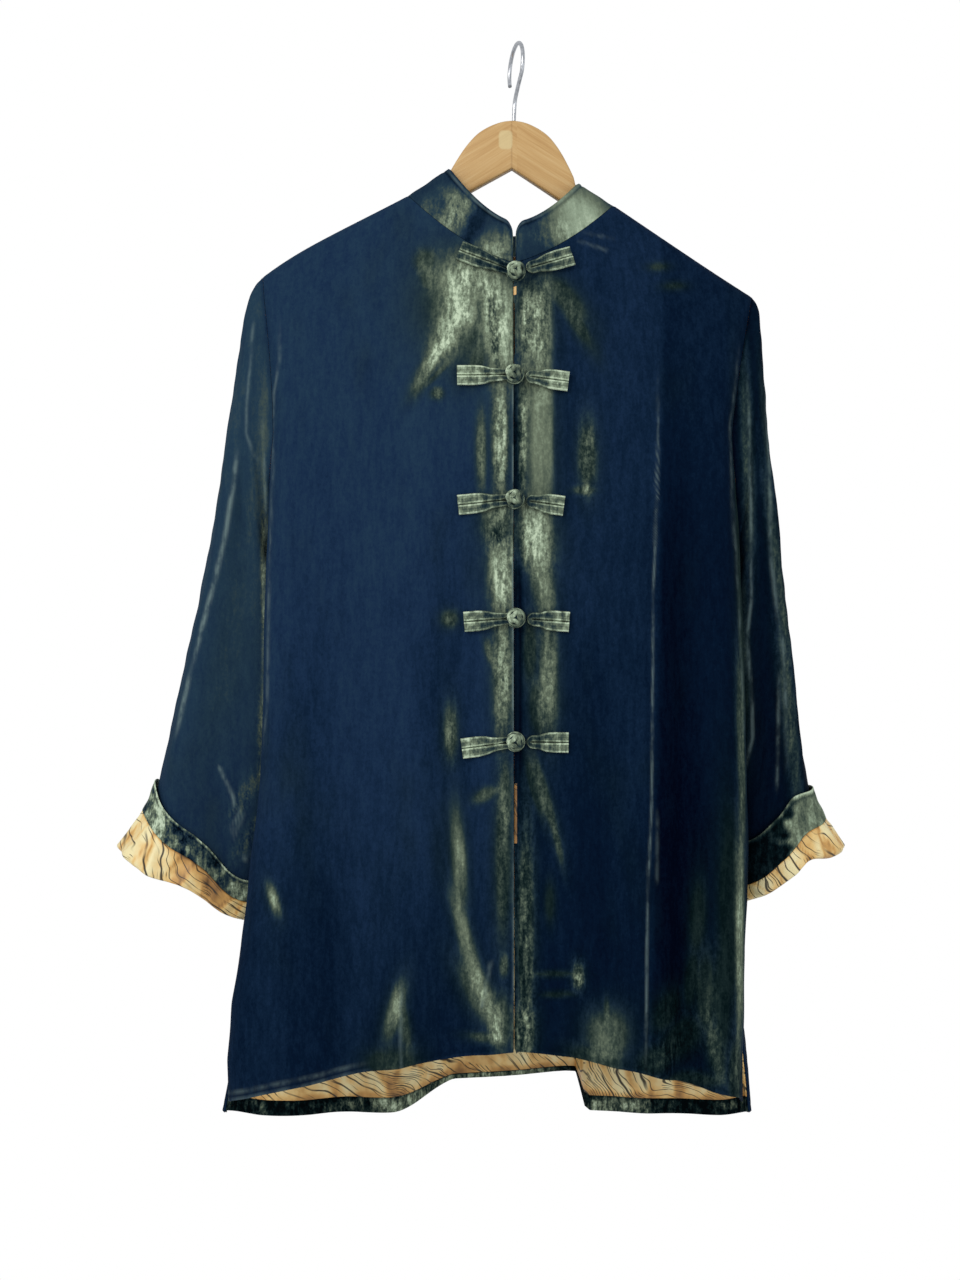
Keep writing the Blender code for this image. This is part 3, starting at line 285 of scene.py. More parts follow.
def running_length(points, axis=0):
    """How far along the rows of points each one lies."""
    steps = np.linalg.norm(np.diff(points, axis=axis), axis=-1)
    return np.cumsum(np.insert(steps, 0, 0.0, axis=axis), axis=axis)


def at_heights(rows, column, z):
    """One column of a table, read at the heights z between its rows, which run downwards."""
    return np.interp(z, [row.z for row in reversed(rows)], [getattr(row, column) for row in reversed(rows)])


def moved(grid, normal, distance):
    return grid + normal * np.asarray(distance)[..., None]


def catmull_rom(knots, at):
    """A smooth curve through the knots, at a place counted in knots."""
    index = min(int(at), len(knots) - 2)
    share = at - index
    before, here = knots[max(index - 1, 0)], knots[index]
    after, beyond = knots[index + 1], knots[min(index + 2, len(knots) - 1)]
    return 0.5 * (
        2 * here
        + (after - before) * share
        + (2 * before - 5 * here + 4 * after - beyond) * share**2
        + (3 * here - before - 3 * after + beyond) * share**3
    )


# ---------------------------------------------------------------- the lie of the pile, with painted light and shade
# A nap of 0 is black navy, 0.25 the plain dark cloth, and 1 the palest crushed sage.
# The plain cloth darkens downwards, towards the wearer's left and beyond the long fold: partly the lie of the
# pile, partly painted shade away from the key light, which stands high on the wearer's right.
Tone = namedtuple("Tone", "z right left beyond_fold back sleeve_right sleeve_left")
TONES_AND_SHADE = (
    Tone(-0.180, 0.285, 0.205, 0.16, 0.20, 0.34, 0.10),
    Tone(-0.330, 0.285, 0.200, 0.13, 0.20, 0.36, 0.08),
    Tone(-0.500, 0.265, 0.190, 0.09, 0.18, 0.34, 0.08),
    Tone(-0.680, 0.240, 0.145, 0.08, 0.16, 0.29, 0.07),
    Tone(-0.820, 0.170, 0.115, 0.06, 0.14, 0.26, 0.07),
    Tone(-0.980, 0.130, 0.090, 0.05, 0.13, 0.22, 0.06),
)
FOLD_LINE_X, FOLD_LINE_LEAN, FOLD_LINE_SOFT = 0.1215, 0.022, 0.006

# soft patches where the pile lies the other way: lean is how far they run sideways as they fall
Patch = namedtuple("Patch", "x z half_x half_z lean glow crush")
PATCH_POWER_ACROSS, PATCH_POWER_DOWN = 3.2, 2.6
GREEN_GAIN, GREEN_REACH_ACROSS, GREEN_REACH_DOWN = 1.3, 1.4, 1.2
PALE_FROM, PALE_RANGE, PALE_LOSS = 0.4, 0.5, 0.45
NAP_MOST, CRUSH_LEAST, CRUSH_MOST = 1.1, 0.05, 0.6


def patches(*rows):
    """Patches from rows whose first four columns are millimetres."""
    return tuple(Patch(*(size / 1000 for size in row[:4]), *row[4:]) for row in rows)


FRONT_PATCHES = patches(
    # broad, darker falls of the plain cloth: painted shade
    (-184, -730, 24, 200, 0, -0.04, 0),
    (-60, -600, 24, 240, 0, -0.05, 0),
    (62, -740, 18, 200, 0, -0.04, 0),
    (138, -700, 22, 320, 0.04, -0.045, 0),
    # the wearer's right front, from the neck down
    (-19, -262, 12.5, 52, 0.08, 0.6, 0.4),
    (-52, -250, 30, 48, 0.1, 0.1, 0.8),
    (-22.5, -256, 4.5, 18, 0.12, -0.2, 1.2),
    (-20.5, -284, 3.5, 18, 0.12, -0.22, 1.2),
    (-15, -244, 2, 14, 0, -0.14, 1),
    (-8.5, -260, 3.5, 48, 0, 0.18, 0.3),
    (-43, -220, 17, 20, 0, 0.3, 0.6),
    (-56, -234, 15, 30, 0.1, 0.36, 0.35),
    (-48, -256, 12, 16, 0.2, 0.18, 0.5),
    (-63, -274, 15, 26, -0.25, 0.3, 0.5),
    (-69, -284, 10, 16, -0.5, 0.14, 0.6),
    (-77, -298, 7, 20, -0.6, 0.26, 0.6),
    (-85, -314, 6, 16, -0.5, 0.16, 0.6),
    (-70, -308, 3, 14, -0.9, 0.12, 0.6),
    (-36, -296, 6, 20, -0.2, 0.12, 0.8),
    (-72, -328, 5, 5, 0, 0.26, 1.2),
    (-83, -206, 9, 12, 0, 0.18, 0.6),
    (-78, -224, 9, 13, 0.3, 0.14, 0.5),
    (-16, -370, 7, 49, 0, 0.5, 0.8),
    (-33, -379, 4, 32, 0, 0.32, 0.7),
    (-19, -443, 13, 21, 0, 0.33, 0.9),
    (-18, -453, 6, 7, 0, -0.3, 0.5),
    (-15, -489, 11, 30, 0, 0.58, 0.6),
    (-14, -576, 8, 56, 0, 0.44, 0.8),
    (-14, -740, 7, 75, 0, 0.15, 1.3),
    (-26, -557, 3, 11, 0.2, 0.25, 0.8),
    (-60, -628, 6, 25, 0, 0.32, 0.8),
    (-61, -528, 7, 8, 0, 0.22, 0.9),
    (-12, -687, 5, 37, 0, 0.2, 0.6),
    (-30, -682, 8, 7, -0.8, 0.3, 0.5),
    (-52.5, -738, 6.2, 46, 0.06, 0.36, 0.25),
    (-51, -735, 5, 24, 0.06, 0.18, 0.25),
    (-46.5, -808, 6.6, 42, 0.28, 0.46, 0.25),
    (-36, -852, 13, 30, 0.4, 0.34, 0.4),
    (-25, -871, 6, 28, 0.3, 0.3, 0.4),
    (-13, -831, 4, 10, 0, 0.3, 0.6),
    (-16, -879, 9, 26, 0, 0.3, 0.5),
    (-30, -892, 14, 5, 0.8, 0.3, 0.6),
    (-108, -868, 7, 26, -0.25, 0.46, 0.3),
    (-100, -881, 5, 24, 0.2, 0.3, 0.4),
    (-104, -915, 16, 18, 0, 0.14, 0.6),
    (-215, -774, 4.6, 14, 0.32, 0.58, 0.3),
    (-119, -915, 14, 11, 0, 0.12, 0.5),
    # the wearer's left front: a band beside the centre front, with its own edge
    (13.5, -262, 15.5, 40, 0, 0.4, 0.9),
    (24, -264, 7, 46, 0, 0.14, 0.4),
    (6, -256, 3, 30, 0, 0.14, 1),
    (-1, -370, 2.2, 76, 0, -0.2, 0),
    (-0.6, -550, 3, 110, 0, -0.3, 0),
    (-1, -770, 2.2, 120, 0, -0.15, 0),
    (19, -368, 11.5, 76, 0, 0.52, 0.12),
    (3.5, -364, 4.5, 60, 0, 0.34, 1.2),
    (28.5, -360, 2.2, 56, 0, 0.16, 0.3),
    (15, -325, 14, 18, 0, 0.12, 0.6),
    (14, -454, 17, 30, 0.1, 0.48, 0.6),
    (21, -496, 10, 30, 0.1, 0.42, 0.4),
    (6, -460, 5, 24, 0, 0.12, 1),
    (26, -580, 8.5, 54, 0, 0.48, 0.5),
    (10, -556, 6, 32, 0, 0.16, 1),
    (16, -606, 6, 26, 0.1, 0.12, 1),
    (44, -242, 12, 23, 0.6, 0.16, 0.8),
    (52, -262, 7, 26, 0.5, 0.12, 0.8),
    (61, -384, 8, 32, 0, 0.32, 0.95),
    (58, -414, 9, 4, 0, 0.25, 0.9),
    (23, -684, 5, 40, 0.28, 0.34, 0.6),
    (14, -676, 4, 30, 0.26, 0.14, 0.8),
    (34, -724, 3, 22, 0.2, 0.2, 0.8),
    (27, -776, 4, 18, 0, 0.12, 0.5),
    (5.5, -800, 8, 100, 0, 0.3, 1.2),
    (4.5, -888, 11, 26, 0, 0.24, 1.2),
    (52, -840, 5, 13, 0, 0.5, 1),
    (30, -838, 18, 3, -0.2, 0.16, 1),
    (34, -856, 14, 3, -0.2, 0.12, 1),
    (77, -890, 19, 24, 0, 0.42, 0.3),
    (66, -912, 24, 14, 0.3, 0.16, 0.8),
    (76, -868, 3, 12, 0, 0.18, 0.5),
    # the three from 195 to 199 mm across, down the left front's side edge, are painted highlight: the sheen
    # where the cloth turns away
    (195, -810, 5.4, 95, 0, 0.66, 0.3),
    (197.5, -640, 4.5, 90, 0.02, 0.38, 0.4),
    (184, -790, 10, 100, 0, 0.08, 0.6),
    (199, -511, 4, 141, 0.02, 0.16, 0.4),
    (157, -790, 7, 38, -0.05, 0.17, 0.4),
    (152, -845, 6, 30, -0.1, 0.08, 0.9),
    (164, -856, 9, 42, 0, 0.24, 0.6),
    (178, -860, 8, 60, 0, 0.07, 0.9),
    (172, -906, 8, 30, 0.15, 0.24, 0.8),
    (190, -928, 7, 36, 0, 0.26, 0.8),
    (142, -896, 18, 22, -0.4, 0.09, 1.6),
    (120, -912, 16, 16, -0.4, 0.12, 1.6),
    (150, -932, 30, 8, -0.35, 0.18, 1.2),
    (129, -870, 12, 20, -0.3, 0.1, 1.4),
    (128, -208, 8, 4, -0.5, 0.12, 0.8),
    (142, -226, 9, 4, -0.5, 0.12, 0.8),
)
BACK_PATCHES = patches(
    (-30, -300, 18, 80, 0.1, 0.24, 0.6),
    (-12, -380, 6, 70, 0.06, 0.2, 0.9),
    (60, -340, 10, 90, -0.1, 0.22, 0.8),
    (48, -420, 16, 40, -0.3, 0.16, 0.7),
    (-150, -470, 9, 100, 0.05, 0.18, 0.8),
    (-138, -560, 5, 60, 0.1, 0.22, 0.9),
    (20, -540, 12, 80, 0.2, 0.24, 0.7),
    (34, -610, 6, 60, 0.1, 0.16, 0.9),
    (155, -600, 8, 120, 0, 0.22, 0.6),
    (-85, -660, 10, 70, -0.2, 0.26, 0.5),
    (-70, -720, 5, 50, -0.1, 0.18, 0.9),
    (-20, -780, 13, 90, 0.15, 0.24, 0.7),
    (-175, -820, 9, 110, 0, 0.22, 0.7),
    (45, -860, 10, 80, 0.2, 0.28, 0.6),
    (62, -920, 16, 40, 0.3, 0.16, 0.9),
    (140, -900, 12, 60, 0.1, 0.22, 0.9),
    (-110, -930, 18, 36, 0.2, 0.26, 0.6),
    (-132, -880, 6, 60, 0.1, 0.16, 0.9),
)
SLEEVE_PATCHES = patches(
    (-236, -400, 6, 70, -0.1, 0.05, 0.4),
    (-262, -560, 14, 80, -0.2, 0.04, 0.3),
    (-230, -510, 3, 90, 0, 0.34, 1.1),
    (-233, -640, 4, 50, 0, 0.24, 1.2),
    (-229, -350, 4, 40, 0, 0.05, 0.9),
    (-250, -690, 8, 22, -0.5, 0.13, 1.8),
    (-245, -725, 8, 24, -0.6, 0.13, 1.8),
    (208, -380, 6, 110, 0.04, 0.28, 0.6),
    (206, -560, 5, 90, 0.02, 0.22, 0.6),
    (236, -480, 6, 100, 0.14, 0.26, 0.6),
    (249, -620, 7, 90, 0.12, 0.32, 0.6),
    (225, -350, 4, 60, 0.08, 0.16, 0.6),
)

# thin creases and edges: a low ridge, none at a bare edge, and a pale line along it, which is partly the bent
# pile and partly a painted highlight
Line = namedtuple("Line", "points ridge glow width")
RIDGE_WIDTH, LINE_FADE = 0.0050, 0.12


def creases(*rows):
    """Lines from rows of points, ridge, glow and width. All but the glow are millimetres."""
    return tuple(Line(np.array(at) / 1000, ridge / 1000, glow, wide / 1000) for at, ridge, glow, wide in rows)


FRONT_LINES = creases(
    # the first three run down the centre front edge: painted highlight along it
    (((-4.5, -300), (-4.5, -400), (-4.5, -450)), 0, 0.9, 0.8),
    (((-4.5, -455), (-4.5, -560), (-4.5, -640)), 0, 1.6, 0.8),
    (((-4.5, -660), (-4.5, -760), (-4.5, -890)), 0, 0.6, 0.8),
    (((29.6, -245), (30, -330), (29.6, -420)), 0, 0.14, 1.4),
    (((125, -298), (124, -370), (122, -423), (118, -511), (117, -599), (116, -687), (112, -776),
      (111, -864), (110, -935)), 1.6, 0.46, 0.9),
    (((121, -691), (120, -763)), 0.8, 0.16, 1.4),
    (((-24, -824), (-33, -869)), 1.4, 0.34, 1.4),
    (((-103, -842), (-102, -926)), 1.6, 0.36, 1.4),
    # these two run down the fronts' side edges: painted highlight, the sheen where the cloth turns away
    (((-216, -251), (-214, -292), (-220, -325), (-220, -390), (-222, -476), (-223, -599),
      (-228, -652)), 0, 0.34, 1.4),
    (((202, -273), (191, -356), (192, -428), (197, -511), (200, -591), (201, -652)), 0, 0.3, 1.4),
    (((52, -186), (83, -196)), 1, 0.2, 1.4),
    (((56, -178), (90, -184)), 1.2, 0.24, 1.4),
)
BACK_LINES = creases(
    (((-128, -420), (-132, -600), (-140, -980)), 1.2, 0.26, 1.4),
    (((75, -640), (77, -800), (78, -985)), 1, 0.3, 1.4),
    (((20, -240), (16, -420), (4, -560)), 1.2, 0.24, 1.4),
)
SLEEVE_LINES = creases(
    (((-239.6, -252.1), (-242, -300), (-245.2, -335), (-245, -360), (-239, -378),
      (-229.5, -390.3)), 1, 0.36, 1.4),
    (((-251.8, -365.9), (-257, -404), (-264, -447.2), (-271, -476), (-278.3, -504.1), (-289, -542),
      (-298.6, -577.2), (-307, -611), (-314.8, -642.2)), 1.8, 0.8, 1.8),
    (((-231, -336), (-229, -390), (-228.7, -447.2), (-231.8, -569.1), (-232.7, -682.9)), 0, 0.4, 1.4),
    (((-274, -662), (-266, -676), (-260, -690), (-259, -702)), 1.4, 0.62, 1.4),
    (((-252, -700), (-258, -712), (-264, -725)), 1.4, 0.4, 1.4),
    (((-249, -704), (-255, -717), (-261, -729)), 1, 0.3, 1.4),
    (((-237, -734), (-245, -745), (-254, -749)), 1.4, 0.5, 1.4),
    (((208, -304), (209, -362), (211, -423), (212, -511), (208, -546), (213, -599), (214, -635),
      (204, -679)), 1.8, 0.46, 1.4),
    (((238, -573), (239, -630), (238, -687)), 1.2, 0.42, 1.4),
    (((227, -290), (228, -380), (229, -463), (236, -519), (243, -560), (247, -673)), 1.4, 0.42, 1.6),
)


def line_share(line, x, z):
    """Distance from a crease, and how much of its strength it has there: it fades at both ends."""
    starts = running_length(line.points)
    best, place = np.full(x.shape, 9.0), np.zeros(x.shape)
    steps = np.diff(line.points, axis=0)
    for start, step, length, before in zip(line.points, steps, np.diff(starts), starts):
        share = ((x - start[0]) * step[0] + (z - start[1]) * step[1]) / length**2
        share = np.clip(share, 0.0, 1.0)
        distance = np.hypot(x - start[0] - share * step[0], z - start[1] - share * step[1])
        place = np.where(distance < best, before + share * length, place)
        best = np.minimum(distance, best)
    place /= starts[-1]
    return best, smooth(place / LINE_FADE) * smooth((1.0 - place) / LINE_FADE)


def marks_of(x, z, tone, spots, lines=()):
    """The nap, the crush, the pale crease lines and the green cast of cloth over x, z. The lines are partly
    painted highlight, and painted shade where their glow is below 0.
    """
    nap, crush = tone.copy(), np.full(x.shape, CRUSH_LEAST)
    line_light_and_shade, green = np.zeros(x.shape), np.zeros(x.shape)
    for patch in spots:
        down = patch.z - z
        across = (x - patch.x - patch.lean * down) / patch.half_x
        down = down / patch.half_z
        share = np.exp(-(np.abs(across) ** PATCH_POWER_ACROSS) - np.abs(down) ** PATCH_POWER_DOWN)
        about = np.exp(-((across / GREEN_REACH_ACROSS) ** 2) - (down / GREEN_REACH_DOWN) ** 2)
        pale = np.clip((nap - PALE_FROM) / PALE_RANGE, 0.0, 1.0) * (patch.glow > 0)
        nap = nap + patch.glow * share * (1.0 - PALE_LOSS * pale)
        crush = crush + abs(patch.glow) * patch.crush * share
        green = np.maximum(green, GREEN_GAIN * about * (patch.glow > 0))
    for line in lines:
        distance, fade = line_share(line, x, z)
        line_light_and_shade = line_light_and_shade + line.glow * fade * bump(distance, 0.0, line.width)
    return {
        "nap": np.clip(nap, 0.0, NAP_MOST),
        "crush": np.clip(crush, 0.0, CRUSH_MOST),
        "line": line_light_and_shade,
        "green": np.clip(green, 0.0, 1.0),
    }


def tone_and_shade_of(x, z, field):
    """The plain cloth's nap with painted shade in it: darker downwards, and beyond the long fold of the left
    front.
    """
    if field != "front":
        return at_heights(TONES_AND_SHADE, field, z)
    right, left, beyond = (at_heights(TONES_AND_SHADE, column, z) for column in ("right", "left", "beyond_fold"))
    fold_x = FOLD_LINE_X + FOLD_LINE_LEAN * (z + 0.5)
    past_fold = smooth((x - fold_x) / FOLD_LINE_SOFT)
    return np.where(x < CF_X, right, between(left, beyond, past_fold))


# ---------------------------------------------------------------- body surface, as in the frame
def half_width(side, z):
    return at_heights(LEVELS, "right" if side < 0 else "left", z)


def shoulder_z(side, x):
    """Height of the shoulder line over x, drawn on across the neck."""
    out = np.abs(x - APEX_X)
    share = np.clip(out / SHOULDER_HALF[side], 0.0, 1.0)
    return APEX_Z - SHOULDER_SLOPE[side] * out + SHOULDER_BOW[side] * np.sin(np.pi * share**3)


def neck_curve(share):
    return (1.0 - NECK_FRONT_BEND) * share + NECK_FRONT_BEND * share**2


def tip_z(side):
    return float(shoulder_z(side, CF_X + side * SHOULDER_HALF[side]))


def armpit_z(side):
    return tip_z(side) - ARMPIT_SHARE * (tip_z(side) - BACK_HEM_Z)


def top_z(face, side, s):
    """Height of a panel's upper edge: the neckline, then the shoulder seam."""
    neck_x = CF_X + side * NECK_SHARE * SHOULDER_HALF[side]
    neck_point = shoulder_z(side, neck_x)
    share = np.clip(s / NECK_SHARE, 0.0, 1.0)
    if face == "front":
        neckline = between(NECK_FRONT_Z, neck_point, neck_curve(share))
    else:
        neckline = between(NECK_BACK_Z, neck_point, share**NECK_BACK_BEND)
    return np.where(s < NECK_SHARE, neckline, shoulder_z(side, CF_X + side * s * SHOULDER_HALF[side]))


def box_fold(x):
    """1 across the middle of the back, 0 beside it: a slow rise, and a sharp edge."""
    left = smooth((x - BOX_FOLD_LEFT) / BOX_FOLD_SLOPE)
    return left * smooth((BOX_FOLD_RIGHT - x) / BOX_FOLD_STEP)


def hem_z(face, side, s):
    if face == "front":
        return FRONT_HEM_Z - FRONT_HEM_DROP * s**FRONT_HEM_BEND
    x = back_hem_x(side, s)
    tilt = 1.0 - BOX_FOLD_TILT * (1.0 - np.clip((x - BOX_FOLD_TILT_FROM) / BOX_FOLD_TILT_WIDTH, 0.0, 1.0))
    sag = BACK_HEM_SAG * bump(s, BACK_HEM_SAG_AT, BACK_HEM_SAG_WIDTH)
    rise = BACK_HEM_SIDE * smooth((s - BACK_HEM_SIDE_AT) / (1.0 - BACK_HEM_SIDE_AT))
    return BACK_HEM_Z - sag + rise + BOX_FOLD_RISE * tilt * box_fold(x)


def back_hem_x(side, s):
    return body_point("back", side, s, np.full(np.shape(s), BACK_HEM_Z))[..., 0]


def facing_z(face, side, s):
    """Height of the seam between the lining and the hem's facing."""
    height = FACING_HEIGHT[face]
    if face == "back":
        height = between(height, FACING_HEIGHT["box_fold"], box_fold(back_hem_x(side, s)))
    return hem_z(face, side, s) + height


def depth_at(face, side, s, z):
    """Depth of the cloth in front of, or behind, the hanger."""
    fall = np.maximum(shoulder_z(side, CF_X + side * s * SHOULDER_HALF[side]) - z, 0.0)
    ridge = np.where(fall < RIDGE, np.sqrt(np.maximum(2 * RIDGE * fall - fall**2, 0.0)), RIDGE)
    return ridge + (at_heights(LEVELS, face, z) - RIDGE) * (1.0 - np.exp(-fall / SWELL))


def edge_cut(face, side, z, depth):
    """How far short of the side seam's plane a panel stops: armhole above, vent below."""
    up_armhole = (z - armpit_z(side)) / (tip_z(side) - armpit_z(side))
    armhole = ARMHOLE_CUT * depth * np.sin(0.5 * np.pi * np.clip(up_armhole / ARMHOLE_TURN, 0.0, 1.0))
    return armhole + VENT_OPEN[face] * smooth((VENT_TOP_Z - z) / VENT_HEIGHT)


def body_point(face, side, s, z):
    """Outer face of a panel, s from the centre line (0) to its side edge (1), at height z."""
    depth = depth_at(face, side, s, z)
    inset = at_heights(LEVELS, "inset_right" if side < 0 else "inset_left", z)
    width = half_width(side, z) - (0.0 if face == "front" else 2 * inset)
    seam_x = half_width(side, z) - inset
    corner = np.clip(CORNER_SHARE * depth, 1e-6, CORNER)
    flat = width - corner
    turn = 0.5 * np.pi * corner
    flank = np.hypot(depth - corner, width - seam_x)
    along = (flat + turn + flank - edge_cut(face, side, z, depth)) * s
    if face == "front":
        along = along + FRONT_GAP * np.clip(1.0 - s / NECK_SHARE, 0.0, 1.0)
    angle = np.clip((along - flat) / corner, 0.0, 0.5 * np.pi)
    down_flank = np.clip((along - flat - turn) / np.maximum(flank, 1e-6), 0.0, 1.0)
    x = np.minimum(along, flat) + corner * np.sin(angle) + (seam_x - width) * down_flank
    y = depth - corner * (1.0 - np.cos(angle)) - (depth - corner) * down_flank
    y = y + CROWN * (depth / CROWN_DEPTH) * np.maximum(1.0 - (x / width) ** 2, 0.0) * (1.0 - down_flank)
    sign = -1.0 if face == "front" else 1.0
    return np.stack([CF_X + side * x, sign * (SEAM / 2 + y), z], axis=-1)


def fold_height(folds, x, z, s):
    """Height of the soft folds at x, z. They die away at the seams."""
    total = np.zeros_like(x)
    for fold in folds:
        share = (fold.z_top - z) / (fold.z_top - fold.z_foot)
        centre = between(fold.x_top, fold.x_foot, np.clip(share, 0.0, FOLD_PAST_FOOT))
        total += fold.height * smooth(share / FOLD_START) * bump(x, centre, fold.width)
    return total * smooth((1.0 - np.abs(s)) / FOLD_FREE)


def panel_heights(face, side, s):
    """Heights of a panel's rows: over the shoulder, down the armhole, down the skirt and the facing."""
    top, hem, facing = top_z(face, side, s), hem_z(face, side, s), facing_z(face, side, s)
    armpit = (tip_z(side) - armpit_z(side)) / (tip_z(side) - float(hem_z(face, side, np.array(1.0))))
    upper = top - armpit * ARMHOLE_FINE[:, None] * (top - hem)
    skirt = upper[-1] + np.linspace(0.0, 1.0, SKIRT_ROWS + 1)[1:, None] * (facing - upper[-1])
    foot = facing + np.linspace(0.0, 1.0, FACING_ROWS + 1)[1:, None] * (hem - facing)
    return np.concatenate([upper, skirt, foot])


def back_swing(x, z):
    """How far the box fold takes the middle of the back behind the rest."""
    return BOX_FOLD_DEPTH * box_fold(x) * smooth((BOX_FOLD_TOP_Z - z) / BOX_FOLD_HEIGHT)


def grid_normals(grid, away, tube=False):
    """Unit normals of a grid of points, on the side that most of `away` (an array of directions) takes."""
    across = np.roll(grid, -1, axis=1) - np.roll(grid, 1, axis=1) if tube else np.gradient(grid, axis=1)
    normal = unit(np.cross(across, np.gradient(grid, axis=0)))
    return normal if np.sum(normal * away) > 0 else -normal


# ---------------------------------------------------------------- fine form
CRUMPLE_OFFSET, CRUMPLE_GAIN = (17.3, 5.1, 9.7), 1.6
# crumples from coarse to fine: height, size across, how much longer they are than wide, and a seed
Crumples = namedtuple("Crumples", "height size stretch seed")
BODY_CRUMPLES = (Crumples(0.0012, 0.055, 2.6, 0), Crumples(0.0005, 0.016, 2.2, 1))
SLEEVE_CRUMPLES = (Crumples(0.0014, 0.045, 1.6, 31), Crumples(0.0006, 0.014, 1.3, 35))
# where a panel lies still: a share of its rows, and of its half width, beside its edges
STILL_ROWS, STILL_COLUMNS = 0.03, 0.10


def crumple(grid, size, stretch, seed):
    """Smooth noise of about -1 to 1 over a grid of points, its features drawn out downwards."""
    offset = Vector([seed * step for step in CRUMPLE_OFFSET])
    flat = grid.reshape(-1, 3) / np.array([size, size, size * stretch])
    values = [noise.noise(Vector(point) + offset) for point in flat]
    return np.array(values).reshape(grid.shape[:-1]) * CRUMPLE_GAIN


def relief(grid, rows, shift):
    """Height of all the crumples in a table. The shift gives each piece of cloth its own."""
    return sum(row.height * crumple(grid, row.size, row.stretch, row.seed + shift) for row in rows)


def ridge_height(lines, x, z):
    """Height of the ridges along the creases."""
    total = np.zeros_like(x)
    for line in lines:
        distance, fade = line_share(line, x, z)
        total += line.ridge * fade * bump(distance, 0.0, RIDGE_WIDTH)
    return total


def panel(face, side, columns):
    """Points of a front, or of one half of the back, before its folds, and their shares."""
    z = panel_heights(face, side, columns)
    s = np.tile(columns, (len(z), 1))
    return s, body_point(face, side, s, z)


def from_edges(s, grid):
    """0 at a panel's seams and free edges, 1 well inside it."""
    rows = np.linspace(0.0, 1.0, len(grid))[:, None]
    return smooth(rows / STILL_ROWS) * smooth((1.0 - np.abs(s)) / STILL_COLUMNS)


def folded(base, s, folds, lines, seed):
    """The panel with its folds, creases and crumples, and its normals. A seam's wall ends square to it."""
    away = np.stack([base[..., 0] - CF_X, base[..., 1], np.full(s.shape, 0.06)], axis=-1)
    normal = grid_normals(base, away)
    x, z = base[..., 0], base[..., 2]
    height = fold_height(folds, x, z, s)
    fine = ridge_height(lines, x, z) + relief(base, BODY_CRUMPLES, seed)
    grid = base + normal * (height + fine * from_edges(s, base))[..., None]
    grid[..., 1] += np.where(base[..., 1] > 0, back_swing(x, z), 0.0)
    normal = grid_normals(grid, away)
    normal[0, np.abs(s[0]) >= NECK_SHARE, 1] = 0.0
    for column in (0, -1):
        if abs(s[0, column]) == 1.0:
            normal[len(ARMHOLE_FINE) - 1 :, column, 1] = 0.0
    return grid, unit(normal)


def front_panel(side):
    s, base = panel("front", side, FRONT_FINE)
    return folded(base, s, FRONT_FOLDS[side], FRONT_LINES, 3 + side)


def back_panel():
    s_right, right = panel("back", -1, BACK_FINE)
    s_left, left = panel("back", 1, BACK_FINE)
    base = np.concatenate([right[:, ::-1], left[:, 1:]], axis=1)
    s = np.concatenate([-s_right[:, ::-1], s_left[:, 1:]], axis=1)
    return folded(base, s, BACK_FOLDS, BACK_LINES, 9)


# ---------------------------------------------------------------- meshes
SEAM_BULGE, EDGE_BULGE = 0.0001, 0.0007


def mesh_object(name, points, faces, paints, slots=None, sharp=75.0):
    """One named object with its faces turned outwards. slots gives each face's material."""
    mesh = bpy.data.meshes.new(name)
    mesh.from_pydata(np.asarray(points, float).tolist(), [], faces)
    for paint in paints:
        mesh.materials.append(paint)
    if slots is not None:
        mesh.polygons.foreach_set("material_index", np.asarray(slots, np.int32))
    work = bmesh.new()
    work.from_mesh(mesh)
    bmesh.ops.recalc_face_normals(work, faces=work.faces[:])
    work.to_mesh(mesh)
    work.free()
    mesh.shade_smooth()
    mesh.set_sharp_from_angle(angle=math.radians(sharp))
    obj = bpy.data.objects.new(name + "_fine", mesh)
    bpy.context.scene.collection.objects.link(obj)
    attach(obj, "root")
    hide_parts(name)
    return obj


def give(obj, name, values):
    """A number at each point of a mesh, which its material reads by name."""
    attribute = obj.data.attributes.new(name, "FLOAT", "POINT")
    attribute.data.foreach_set("value", np.asarray(values, np.float32).ravel())


def edge_loops(rows, columns, tube):
    """The grid's free edges: loops of (row, column), each with its neighbour inside the grid."""
    if tube:
        ends = ((0, 1), (rows - 1, rows - 2))
        return [[((row, c), (inner, c)) for c in range(columns)] for row, inner in ends]
    last_row, last = rows - 1, columns - 1
    loop = [((0, c), (1, min(max(c, 1), last - 1))) for c in range(columns)]
    loop += [((r, last), (min(r, last_row - 1), last - 1)) for r in range(1, rows)]
    loop += [((last_row, c), (last_row - 1, min(max(c, 1), last - 1))) for c in range(last - 1, -1, -1)]
    loop += [((r, 0), (r, 1)) for r in range(last_row - 1, 0, -1)]
    return [loop]


